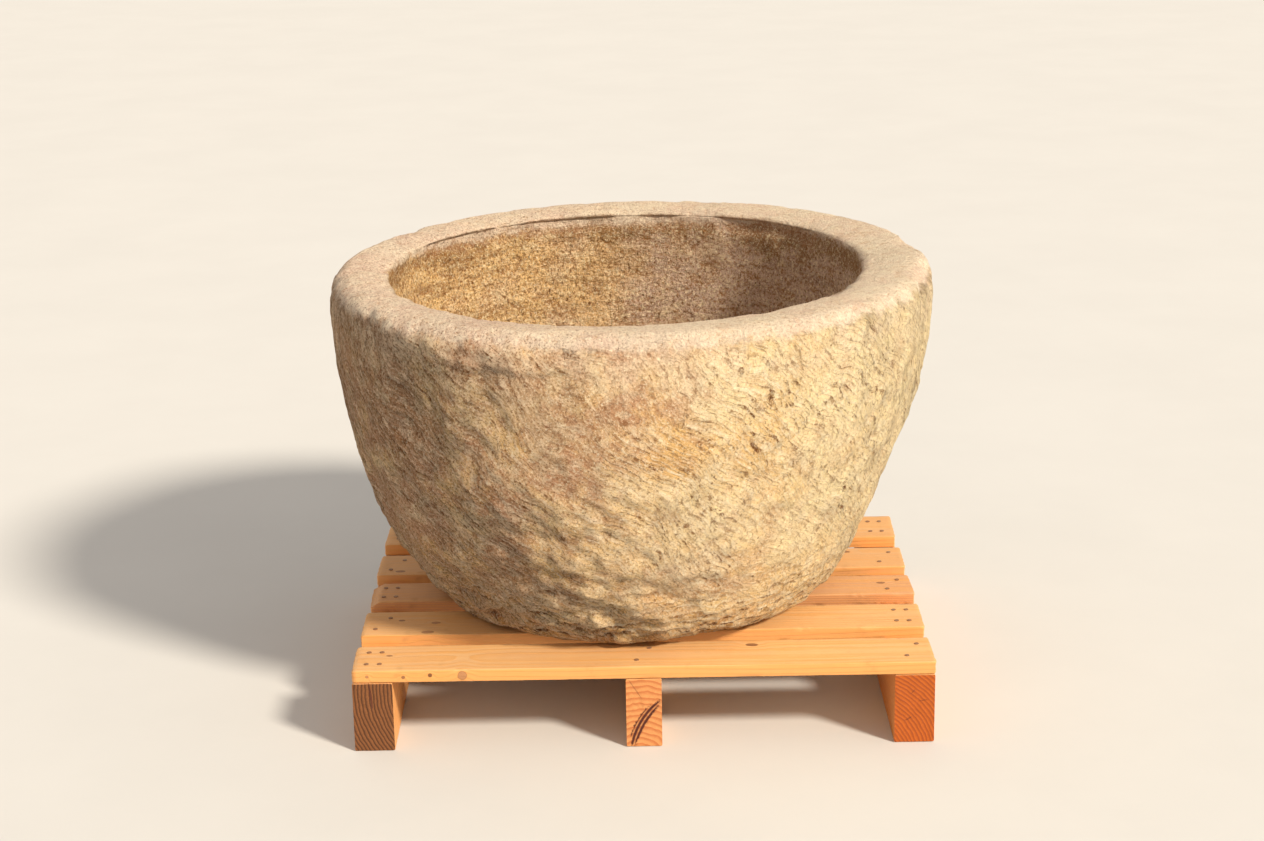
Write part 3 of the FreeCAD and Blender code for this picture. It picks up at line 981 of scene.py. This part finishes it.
def limestone(stone):
    """Weathered limestone. Honey stone with cream, ochre and mauve-brown clouds, the mauve-brown and dark
    grains laid thicker on the left as painted shade, a paler straw on the right that is partly painted light,
    painted shadow at the foot of each stroke and in the hollows, painted highlight on the crests, a worn
    cream rim, and the old water's stains in the bowl, with painted shade on its right wall."""
    material, g, out, spot = new_material("weathered_limestone")
    tooling = attribute(g, "tooling", "Vector")
    worn, brow, inside = (attribute(g, key) for key in ("worn", "brow", "inside"))
    relief, stained, strokes, bare = (attribute(g, key) for key in ("relief", "stained", "strokes", "bare"))
    clouds, spots = mottling(), speckle()
    x, _, z = g.parts(spot)
    marks = g.group(pick_marks(), Vector=tooling, Width=0.0150, Length=0.028, Ragged=1.0)
    small = g.group(pick_marks(), Vector=tooling, Width=0.0085, Length=0.0120, Ragged=0.9)
    dabs = g.group(pick_marks(), Vector=spot, Width=0.0070, Length=0.0080, Ragged=1.3)
    ledges = g.group(pick_marks(), Vector=spot, Width=0.022, Length=0.012, Ragged=0.8, Level=1.0)
    flakes = g.group(patches(), Vector=spot, Size=0.030)
    flecks = g.group(patches(), Vector=spot, Size=0.012)
    cloud = g.group(clouds, Vector=spot, Scale=9.0, Detail=6.0, Low=0.36, High=0.62)["Mask"]
    grit = g.noise(spot, 330.0, 5.0, 0.75)
    crumbs = g.noise(spot, 120.0, 4.0, 0.7)

    # where the marks are: all over the outside, faint in the bowl, none on the worn rim
    frayed = g.noise(spot, 34.0, 6.0, 0.7)
    worn = g.spread(g.times_plus(g.math("SUBTRACT", frayed, 0.5), 2.0, worn), 0.10, 0.90)
    brow = g.times(brow, g.spread(g.noise(spot, 17.0, 6.0, 0.65), 0.36, 0.62))
    bare_rim = g.times_plus(worn, -0.90, 1.0)
    keep = g.times(bare_rim, g.times_plus(inside, -1.0, 1.0))
    keep = g.times(keep, g.times_plus(strokes, 0.65, 0.35))
    loose = g.times(bare_rim, g.times_plus(inside, 0.25, 0.75))
    # the share of the left side, away from the key light: its mauve-brown flakes, dark grains and pinker
    # crest highlight are partly painted shade
    left_share = g.spread(x, 0.20, -0.25, 0.35, 1.0)
    low = g.times(g.spread(z, 0.30, 0.14), g.times_plus(inside, -1.0, 1.0))
    keep = g.times(keep, g.times_plus(low, -0.10, 1.0))

    tone = g.lay(stone.honey, stone.cream, cloud, 0.45)
    bloom = g.scaled(spot, (1, 1, 1.6), (0.3, 0.1, 0.7))
    bloom = g.group(clouds, Vector=bloom, Scale=6.0, Low=0.50, High=0.66)
    tone = g.lay(tone, stone.ochre, bloom["Mask"], 0.50)
    # the mauve-brown crust, thickest on the left, where it is partly painted shade of the side away from the
    # key light
    shade_side = g.noise(g.scaled(spot, (1, 1, 1), (1.7, 0.6, 0.2)), 8.0, 8.0, 0.65)
    shade_side = g.times_plus(x, -0.30, shade_side)
    tone = g.tint(tone, stone.crust_and_shade, shade_side, 0.46, 0.63, 0.84)
    rust = g.scaled(spot, (1, 1, 1), (0.2, 2.6, 1.2))
    rust = g.group(clouds, Vector=rust, Scale=15.0, Low=0.60, High=0.70)
    tone = g.lay(tone, RUST, rust["Mask"], 0.40)
    tone = g.tint(tone, stone.ochre, z, 0.30, 0.12, 0.60)
    # paler straw on the right, where the key light falls: partly the stone's own tone, partly painted light
    lit_side_pale = g.times_plus(g.math("SUBTRACT", cloud, 0.5), 0.16, x)
    lit_side_pale = g.spread(lit_side_pale, -0.02, 0.30, 0.0, 0.75)
    lit_side_pale = g.times(lit_side_pale, g.spread(z, 0.14, 0.36, 0.25, 1.0))
    tone = g.mix(lit_side_pale, tone, STRAW)
    tone = g.tint(tone, stone.cream, flakes["Lot"], 0.55, 0.95, 0.40)
    tone = g.tint(tone, stone.crust_and_shade, flakes["Lot"], 0.35, 0.05, 0.50, left_share)
    tone = g.tint(tone, BONE, flecks["Lot"], 0.70, 0.95, 0.30)
    tone = g.tint(tone, stone.crust_and_shade, flecks["Lot"], 0.26, 0.04, 0.55, left_share)
    tone = g.lay(tone, BROW, brow, 0.60)
    tone = g.lay(tone, BARE, bare, 0.34)
    tone = g.lay(tone, stone.ochre, stained, 0.6)
    ripples = g.noise(g.scaled(spot, (24, 24, 62)), 1.0, 6.0, 0.68)
    tone = bowl_stains(g, stone, tone, spot, inside, cloud, ripples, crumbs)

    # painted shadow at the foot of the steps and painted shade in the hollows, painted highlight on the
    # crests
    trough = g.math("MAXIMUM", marks["Trough"], g.times(small["Trough"], 0.75))
    trough = g.times(trough, g.times(keep, g.spread(crumbs, 0.40, 0.60, 0.15, 1.0)))
    trough = g.math("MAXIMUM", trough, g.times(ledges["Trough"], low))
    dab = g.times(dabs["Trough"], g.times(loose, g.spread(crumbs, 0.48, 0.60, 0.0, 0.9)))
    # painted shade in the deepest hollows of the marks
    hollow_shade = g.spread(relief, 0.49, 0.18, 0.0, 0.50)
    tone = g.lay(tone, stone.crust_and_shade, hollow_shade, g.spread(crumbs, 0.35, 0.65, 0.35, 0.9))
    tone = g.lay(tone, stone.umber, g.math("MAXIMUM", trough, dab), 0.90)
    crest = g.math("MAXIMUM", marks["Crest"], g.times(small["Crest"], 0.8))
    crest = g.times(crest, g.times(keep, g.spread(crumbs, 0.56, 0.44, 0.3, 1.0)))
    crest = g.math("MAXIMUM", crest, g.times(ledges["Crest"], low))
    # painted highlight on the highest points of the marks
    crest = g.math("MAXIMUM", crest, g.times(keep, g.spread(relief, 0.53, 0.80, 0.0, 0.5)))
    # the crests' painted highlight is pinker on the shaded left
    crest_highlight = g.mix(left_share, CREST_HIGHLIGHT, LEFT_CREST_HIGHLIGHT)
    tone = g.lay(tone, crest_highlight, crest, 0.80)

    tone = g.lay(tone, worn_rim(g, spot, crumbs), worn, 0.80)
    # grain: every crumb its own tone, with pits and specks; the dark crumbs fall only on the left, as painted
    # shade
    tone = g.tint(tone, stone.umber, grit, 0.48, 0.35, 0.90, left_share)
    tone = g.tint(tone, GRIT_PALE, grit, 0.53, 0.66, 0.75)
    pits = g.group(spots, Vector=spot, Scale=120.0, Share=0.16, Size=0.30)["Mask"]
    specks = g.group(spots, Vector=spot, Scale=300.0, Share=0.22, Size=0.36)["Mask"]
    few = g.times(g.times_plus(worn, -0.6, 1.0), g.spread(crumbs, 0.45, 0.60))
    tone = g.lay(tone, stone.umber, pits, g.times(few, 0.60))
    tone = g.lay(tone, stone.crust_and_shade, specks, g.times(few, 0.40))
    g.feed(out["Base Color"], tone)

    g.feed(out["Roughness"], g.times_plus(worn, -0.20, g.times_plus(cloud, 0.08, 0.88)))
    out["Specular IOR Level"].default_value = 0.10
    height = g.times(marks["Height"], g.times(keep, 1.25))
    height = g.times_plus(small["Height"], g.times(keep, 1.30), height)
    height = g.times_plus(ledges["Height"], low, height)
    height = g.times_plus(ripples, g.times(inside, -0.014), height)
    height = g.times_plus(dabs["Height"], g.times(loose, 0.55), height)
    height = g.times_plus(grit, g.times_plus(worn, -0.0008, 0.0046), height)
    height = g.times_plus(crumbs, g.times_plus(worn, -0.0020, 0.0076), height)
    height = g.times_plus(pits, g.times(few, -0.0016), height)
    g.emboss(out, height)
    return material


def softwood(name, pallet, node, cut):
    """Sawn softwood, in the timber's own axes: along it from its first end, across it from its front or
    left side, and up from its underside. cut holds what makes this timber its own."""
    material, g, out, spot = new_material(name)
    low, high, size = node_size(node)
    if cut["along_x"]:
        own = g.scaled(spot, (1, 1, 1), tuple(-low))
        own_size = size
    else:
        own = g.scaled(spot, (1, 1, 1), (high[1], -low[0], -low[2]), (0, 0, math.pi / 2))
        own_size = size[[1, 0, 2]]
    across, up = cut["pith"]
    pith = g.scaled(own, (1, 1, 1), (0, -across, -up))
    disc, shift, dark = 0.0, 0.0, 0.0
    for place, radius, stretch, dead in cut["knots"]:
        centre = tuple(np.array(place) * own_size)
        own_look = {"Centre": centre, "Stretch": stretch, "Radius": radius, "Dead": dead}
        knot = g.group(knots(), Vector=own, Disc=disc, Shift=shift, Dark=dark, **own_look)
        disc, shift, dark = knot["Disc"], knot["Shift"], knot["Dark"]
    rings = g.group(growth_rings(), Vector=pith, Gap=cut["gap"], Wander=cut["wander"], Shift=shift)
    broad = g.group(mottling(), Vector=g.scaled(pith, (0.35, 1, 1)), Scale=11.0, Low=0.35, High=0.7)["Mask"]
    base = g.mix(cut["rosy"], pallet.pale, pallet.rosy)
    base = g.lay(base, pallet.rosy, broad, 0.42)
    tone = g.lay(base, pallet.amber, rings["Late"], cut["contrast"])
    tone = g.tint(tone, pallet.amber, rings["Streak"], 0.50, 0.74, 0.65)
    tone = g.tint(tone, pallet.pale, rings["Fibre"], 0.50, 0.70, 0.55)
    tone = g.tint(tone, pallet.amber, rings["Fibre"], 0.48, 0.28, 0.55)
    # the sides get a deeper, more orange tone than the planed top, partly the sawn grain's own colour and
    # partly painted bounce light; the ends get their own darker tone of end grain
    normal = g.parts(g.add("NewGeometry").outputs["Normal"])
    upright = g.spread(g.math("ABSOLUTE", normal[2]), 0.85, 0.35)
    end = g.spread(g.math("ABSOLUTE", normal[0 if cut["along_x"] else 1]), 0.6, 0.9)
    side = g.lay(cut["side"], pallet.amber, rings["Late"], cut["contrast"])
    tone = g.lay(tone, side, upright, 0.75)
    ring_tone = g.mix(rings["Late"], cut["end"], cut["end_ring"])
    ring_tone = g.tint(ring_tone, cut["end_ring"], rings["Fibre"], 0.35, 0.75, 0.35)
    tone = g.lay(tone, ring_tone, end, cut["end_depth"])
    if cut["knots"]:
        tone = g.lay(tone, pallet.rosy, disc, 0.62)
        tone = g.mix(g.math("MULTIPLY", dark, 0.85, clamp=True), tone, pallet.knot)
    for place, reach, turn, bow, strength in cut["streaks"]:
        local = g.placed(own, tuple(np.array(place) * own_size), reach, turn)
        axes = g.parts(local)
        along, off = (axes[0], axes[1]) if cut["along_x"] else (axes[1], axes[2])
        streak = g.group(resin_streak(), Vector=own, Along=along, Off=off, Bow=bow)["Mask"]
        tone = g.lay(tone, pallet.resin, streak, strength)
    # soil from handling
    soil = g.group(mottling(), Vector=own, Scale=26.0, Detail=8.0, Low=0.58, High=0.85)["Mask"]
    tone = g.lay(tone, pallet.knot, soil, 0.30)
    g.feed(out["Base Color"], tone)
    sheen = g.times_plus(rings["Late"], -0.16, 0.66)
    g.feed(out["Roughness"], g.times_plus(soil, 0.15, sheen))
    out["Specular IOR Level"].default_value = 0.3
    saw = g.noise(g.scaled(own, (260, 9, 9)), 1.0, 2.0)
    height = g.times(rings["Late"], 0.00022)
    height = g.times_plus(rings["Fibre"], 0.00032, height)
    height = g.times_plus(saw, cut["saw"], height)
    g.emboss(out, height)
    return material


def turned_oak(plug):
    """Oiled oak turned on end: close rings round the plug's own axis and fine dark pores along it."""
    material, g, out, spot = new_material("turned_oak")
    upright = g.scaled(spot, (1, 1, 1), turn=(0, math.pi / 2, 0))
    pith = g.scaled(upright, (1, 1, 1), (0.0, 0.018, 0.006))
    rings = g.group(growth_rings(), Vector=pith, Gap=0.0032, Wander=0.012)
    tone = g.lay(plug.oak, plug.dark_oak, rings["Late"], 0.7)
    tone = g.tint(tone, plug.dark_oak, rings["Fibre"], 0.42, 0.25, 0.7)
    damp = g.group(mottling(), Vector=spot, Scale=45.0, Low=0.40, High=0.72)["Mask"]
    tone = g.lay(tone, plug.dark_oak, damp, 0.45)
    g.feed(out["Base Color"], tone)
    g.feed(out["Roughness"], g.times_plus(damp, 0.22, 0.36))
    height = g.times_plus(rings["Fibre"], 0.0003, g.times(rings["Late"], 0.00012))
    g.emboss(out, height)
    return material


def nail_steel(pallet):
    """Dull steel with patches of rust."""
    material, g, out, spot = new_material("nail_steel")
    rust = g.group(mottling(), Vector=spot, Scale=420.0, Low=0.36, High=0.60)["Mask"]
    g.feed(out["Base Color"], g.mix(rust, pallet.steel, (0.30, 0.13, 0.055)))
    g.feed(out["Metallic"], g.times_plus(rust, -0.45, 0.45))
    g.feed(out["Roughness"], g.times_plus(rust, 0.35, 0.42))
    height = g.times(g.noise(spot, 1600.0, 3.0), 0.0002)
    g.emboss(out, height)
    return material


def pale_floor(stage):
    """A plain pale floor with the faintest clouding."""
    material, g, out, spot = new_material("pale_floor")
    cloud = g.group(mottling(), Vector=spot, Scale=3.0, Low=0.2, High=0.8)["Mask"]
    darker = tuple(value * 0.96 for value in stage.floor)
    g.feed(out["Base Color"], g.mix(cloud, stage.floor, darker))
    g.feed(out["Roughness"], g.times_plus(cloud, 0.05, 0.75))
    return material


# ---- What makes each timber its own ----

ORANGE_SIDE = (0.828, 0.353, 0.103)
ROSY_SIDE = (0.62, 0.27, 0.12)
FAR = 9.0                        # a reach along which a streak doesn't change
LYING = (0.62, 1.0, 0.0)         # a branch that ran upright, cut aslant
UPRIGHT = (1.0, 1.0, 0.0)        # a branch that ran upright
LEVEL = (1.0, 0.25, 1.0)         # a branch that ran level, seen on the board's edge


def board_cut(pith, gap, rosy, knots_in, contrast=0.52, side=ORANGE_SIDE, streaks=()):
    return {
        "along_x": True, "pith": pith, "gap": gap, "rosy": rosy, "knots": knots_in, "contrast": contrast,
        "side": side, "wander": 0.035, "end": (0.86, 0.50, 0.22), "end_ring": (0.62, 0.30, 0.12),
        "end_depth": 0.7, "streaks": streaks, "saw": 0.00008,
    }


def skid_cut(pith, gap, rosy, side, end, end_ring, streaks=()):
    return {
        "along_x": False, "pith": pith, "gap": gap, "rosy": rosy, "knots": (), "contrast": 0.45,
        "side": side, "wander": 0.012, "end": end, "end_ring": end_ring,
        "end_depth": 0.95, "streaks": streaks, "saw": 0.00030,
    }


# The pith's place is across and up from the timber's own corner, in metres. A knot is its place, as shares
# of the timber's length, width and height, then its radius, its stretch and how dark it is. A streak is its
# place in the same shares, its reach along each axis, its turn, its bow and its strength.
DECK_CUTS = {
    "deck_board_1": board_cut(
        (0.040, 0.062), 0.0056, 0.06,
        [
            ((0.027, 0.0, 0.50), 0.0022, LEVEL, 0.3), ((0.089, 0.0, 0.42), 0.0024, LEVEL, 0.6),
            ((0.135, 0.0, 0.55), 0.0026, LEVEL, 0.9), ((0.190, 0.0, 0.50), 0.0060, LEVEL, 0.3),
            ((0.690, 0.80, 0.0), 0.0048, LYING, 0.7), ((0.060, 0.60, 0.0), 0.0024, LYING, 0.6),
        ],
    ),
    "deck_board_2": board_cut(
        (0.050, 0.050), 0.0048, 0.10,
        [
            ((0.130, 0.50, 0.0), 0.0036, LYING, 0.35), ((0.118, 0.12, 0.0), 0.0048, LYING, 0.4),
            ((0.068, 0.62, 0.0), 0.0028, LYING, 0.6),
        ],
    ),
    "deck_board_3": board_cut(
        (0.020, -0.030), 0.0034, 0.72,
        [((0.945, 0.60, 0.0), 0.0036, LYING, 0.6), ((0.125, 0.75, 0.0), 0.0036, LYING, 0.6)],
        contrast=0.55, side=ROSY_SIDE,
    ),
    "deck_board_4": board_cut(
        (0.070, 0.060), 0.0050, 0.30,
        [
            ((0.097, 0.62, 0.0), 0.0058, (0.35, 1.0, 0.0), 0.9), ((0.043, 0.18, 0.0), 0.0040, LYING, 0.5),
            ((0.895, 0.80, 0.0), 0.0036, LYING, 0.6),
        ],
        side=(0.78, 0.36, 0.13),
    ),
    "deck_board_5": board_cut(
        (0.030, 0.045), 0.0048, 0.16,
        [((0.912, 0.82, 0.0), 0.0034, LYING, 0.6), ((0.112, 0.40, 0.0), 0.0046, LYING, 0.4)],
        contrast=0.66,
    ),
}
SKID_CUTS = {
    "skid_left": skid_cut(
        (0.170, 0.090), 0.0050, 0.60, (0.72, 0.33, 0.11), (0.225, 0.082, 0.027), (0.05, 0.014, 0.006),
        streaks=(((1.0, 0.46, 0.80), (FAR, 0.021, 0.0016), (math.radians(95), 0, 0), 0.5, 0.95),),
    ),
    "skid_centre": skid_cut(
        (0.020, -0.015), 0.0085, 0.12, (0.80, 0.40, 0.15), (0.70, 0.315, 0.115), (0.52, 0.17, 0.055),
        streaks=(
            ((1.0, 0.44, 0.37), (FAR, 0.043, 0.0080), (math.radians(60), 0, 0), -1.0, 1.0),
            ((1.0, 0.25, 0.86), (FAR, 0.018, 0.0010), (math.radians(-58), 0, 0), 0.3, 0.5),
        ),
    ),
    "skid_right": skid_cut(
        (-0.060, -0.030), 0.0052, 0.50, (0.72, 0.24, 0.05), (0.52, 0.115, 0.010), (0.31, 0.055, 0.008),
        streaks=(
            ((1.0, 0.35, 0.35), (FAR, 0.006, 0.0012), (math.radians(30), 0, 0), 0.3, 0.7),
            ((1.0, 0.70, 0.62), (FAR, 0.007, 0.0010), (math.radians(10), 0, 0), -0.3, 0.6),
            ((1.0, 0.45, 0.75), (FAR, 0.005, 0.0010), (math.radians(50), 0, 0), -0.3, 0.6),
        ),
    ),
}
END_BEVELS = {"deck_board_3": (0.016, 0.009)}


# ---- Operators ----


def place(piece, body, node, slot):
    """The piece rides on the body and stands for the node of the frame, which is hidden. The slot is not
    used.
    """
    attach(piece, body)
    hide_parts(node)


class FONT_OT_stone_basin(bpy.types.Operator):
    """Build the stone tub with its tool marks, chips and weathering"""

    bl_idname = "font.stone_basin"
    bl_label = "Stone Basin"

    def execute(self, context):
        place(make_basin(context.scene.font_stone), "font", "font_basin", "limestone")
        return {"FINISHED"}


class FONT_OT_drain_plug(bpy.types.Operator):
    """Build the turned oak plug that closes the drain"""

    bl_idname = "font.drain_plug"
    bl_label = "Drain Plug"

    def execute(self, context):
        plug = context.scene.font_plug
        place(make_plug(plug), "plug", "drain_plug", "turned_oak")
        return {"FINISHED"}


class FONT_OT_deck_boards(bpy.types.Operator):
    """Build the five deck boards of the pallet"""

    bl_idname = "font.deck_boards"
    bl_label = "Deck Boards"

    def execute(self, context):
        pallet = context.scene.font_pallet
        for number, name in enumerate(BOARDS):
            low, high, _ = node_size(name)
            bevel = END_BEVELS.get(name, (0.004, 0.002))
            seed = 100 + 13 * number
            piece = timber(f"{name}_wood", low, high, True, pallet, seed, bevel, pallet.deck_sink)
            piece.data.materials.append(softwood(f"{name}_softwood", pallet, name, DECK_CUTS[name]))
            place(piece, "pallet", name, "deck_softwood")
        return {"FINISHED"}


class FONT_OT_skids(bpy.types.Operator):
    """Build the three skids under the deck boards"""

    bl_idname = "font.skids"
    bl_label = "Skids"

    def execute(self, context):
        pallet = context.scene.font_pallet
        for number, name in enumerate(SKIDS):
            low, high, _ = node_size(name)
            seed = 300 + 17 * number
            piece = timber(f"{name}_wood", low, high, False, pallet, seed, (0.002, 0.0))
            piece.data.materials.append(softwood(f"{name}_softwood", pallet, name, SKID_CUTS[name]))
            place(piece, "pallet", name, "skid_softwood")
        return {"FINISHED"}


class FONT_OT_nails(bpy.types.Operator):
    """Give the nails their rusty steel"""

    bl_idname = "font.nails"
    bl_label = "Nails"

    def execute(self, context):
        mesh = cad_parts["deck_nails"].data
        mesh.materials.clear()
        mesh.materials.append(nail_steel(context.scene.font_pallet))
        return {"FINISHED"}


class FONT_OT_stage(bpy.types.Operator):
    """Set up the floor, the lights and the camera"""

    bl_idname = "font.stage"
    bl_label = "Stage"

    def execute(self, context):
        make_stage(context.scene, context.scene.font_stage)
        return {"FINISHED"}


def make_plug(plug):
    """The plug as a turned section carried round its axis: tapered stem, flange, neck and knob. The radius
    carries a fine wave with height, the grooves that the gouge left."""
    low, high, size = node_size("drain_plug")
    quarter = math.pi / 2
    flange, neck, knob = size[0] / 2, plug.neck_radius, plug.knob_radius
    stem_top = low[2] + plug.stem_length
    flange_top = stem_top + plug.flange_height
    neck_top = flange_top + plug.neck_length
    knob_height = high[2] - knob
    foot, stem_foot, stem_head = 0.0222, 0.0240, 0.0275
    small, large = 0.0015, 0.003
    start = math.asin((knob_height - neck_top) / knob)
    runs = [
        straight((0.004, low[2]), (foot, low[2]), 4),
        straight((stem_foot, low[2] + 0.002), (stem_head, stem_top), 22),
        straight((stem_head + 0.0002, stem_top), (flange - 0.001, stem_top), 4),
        bend((flange - small, stem_top + small), small, -quarter, 0, 4),
        straight((flange, stem_top + small), (flange, flange_top - large), 3),
        bend((flange - large, flange_top - large), large, 0, quarter, 5),
        straight((flange - large, flange_top), (0.0185, flange_top), 5),
        bend((0.0165, flange_top), 0.002, 0, 2 * quarter, 7),
        bend((neck + 0.004, flange_top + 0.004), 0.004, -quarter, -2 * quarter, 5),
        straight((neck, flange_top + 0.004), (neck, neck_top - 0.0005), 4),
        bend((0, knob_height), knob, -start, math.radians(86), 26),
    ]
    section = np.vstack(runs)
    r, h = section[:, :1], section[:, 1:]
    r = r - plug.groove_depth * np.abs(np.sin(h * FULL_TURN / plug.groove_gap)) * (h > flange_top + 0.006)
    angle = np.arange(plug.columns) * FULL_TURN / plug.columns
    points = np.stack([r * np.cos(angle), r * np.sin(angle), h + 0 * angle], -1)
    piece = closed_piece("drain_plug_oak", points, sharp=math.radians(40))
    piece.data.materials.append(turned_oak(plug))
    return piece


def make_stage(scene, stage):
    """A wide pale floor, a warm key from the right and the front, a soft fill and the camera."""
    half = 30.0
    corners = [(-half, -half, 0), (half, -half, 0), (half, half, 0), (-half, half, 0)]
    mesh = bpy.data.meshes.new("floor")
    mesh.from_pydata(corners, [], [(0, 1, 2, 3)])
    mesh.materials.append(pale_floor(stage))
    floor = bpy.data.objects.new("floor", mesh)
    scene.collection.objects.link(floor)

    world = bpy.data.worlds.new("sky")
    world.use_nodes = True
    background = world.node_tree.nodes["Background"].inputs
    background["Color"].default_value = (*stage.sky, 1.0)
    background["Strength"].default_value = stage.sky_strength
    scene.world = world
    key = bpy.data.lights.new("key", "SUN")
    key.energy, key.color, key.angle = stage.key_strength, stage.key, stage.key_softness
    lamp = bpy.data.objects.new("key", key)
    level = math.cos(stage.key_height)
    side, height = stage.key_side, stage.key_height
    towards = (math.sin(side) * level, -math.cos(side) * level, math.sin(height))
    lamp.rotation_euler = Vector(towards).to_track_quat("Z", "Y").to_euler()
    scene.collection.objects.link(lamp)

    camera = bpy.data.objects.new("camera", bpy.data.cameras.new("camera"))
    camera.data.lens = stage.lens
    camera.data.sensor_width = 36.0
    turn = Matrix.Rotation(math.pi / 2 - stage.pitch, 4, "X") @ Matrix.Rotation(-stage.roll, 4, "Z")
    camera.matrix_world = Matrix.Translation((-stage.eye_left, -stage.eye_back, stage.eye_height)) @ turn
    scene.collection.objects.link(camera)
    scene.camera = camera
    scene.view_settings.view_transform = "Standard"


class FONT_PT_panel(bpy.types.Panel):
    """Builds the font piece by piece"""

    bl_label = "Baptismal Font"
    bl_idname = "FONT_PT_panel"
    bl_space_type = "VIEW_3D"
    bl_region_type = "UI"
    bl_category = "Font"

    def draw(self, context):
        for operator in OPERATORS:
            self.layout.operator(operator.bl_idname)


SETTINGS = {
    "font_stone": FontStoneSettings,
    "font_pallet": FontPalletSettings,
    "font_plug": FontPlugSettings,
    "font_stage": FontStageSettings,
}
OPERATORS = (
    FONT_OT_stage,
    FONT_OT_stone_basin,
    FONT_OT_drain_plug,
    FONT_OT_deck_boards,
    FONT_OT_skids,
    FONT_OT_nails,
)


def register():
    for kind in (*SETTINGS.values(), *OPERATORS, FONT_PT_panel):
        bpy.utils.register_class(kind)
    for name, kind in SETTINGS.items():
        setattr(bpy.types.Scene, name, PointerProperty(type=kind))


def unregister():
    for name in SETTINGS:
        delattr(bpy.types.Scene, name)
    for kind in reversed((*SETTINGS.values(), *OPERATORS, FONT_PT_panel)):
        bpy.utils.unregister_class(kind)


def main():
    register()
    for operator in OPERATORS:
        family, action = operator.bl_idname.split(".")
        getattr(getattr(bpy.ops, family), action)()


if __name__ == "__main__":
    main()
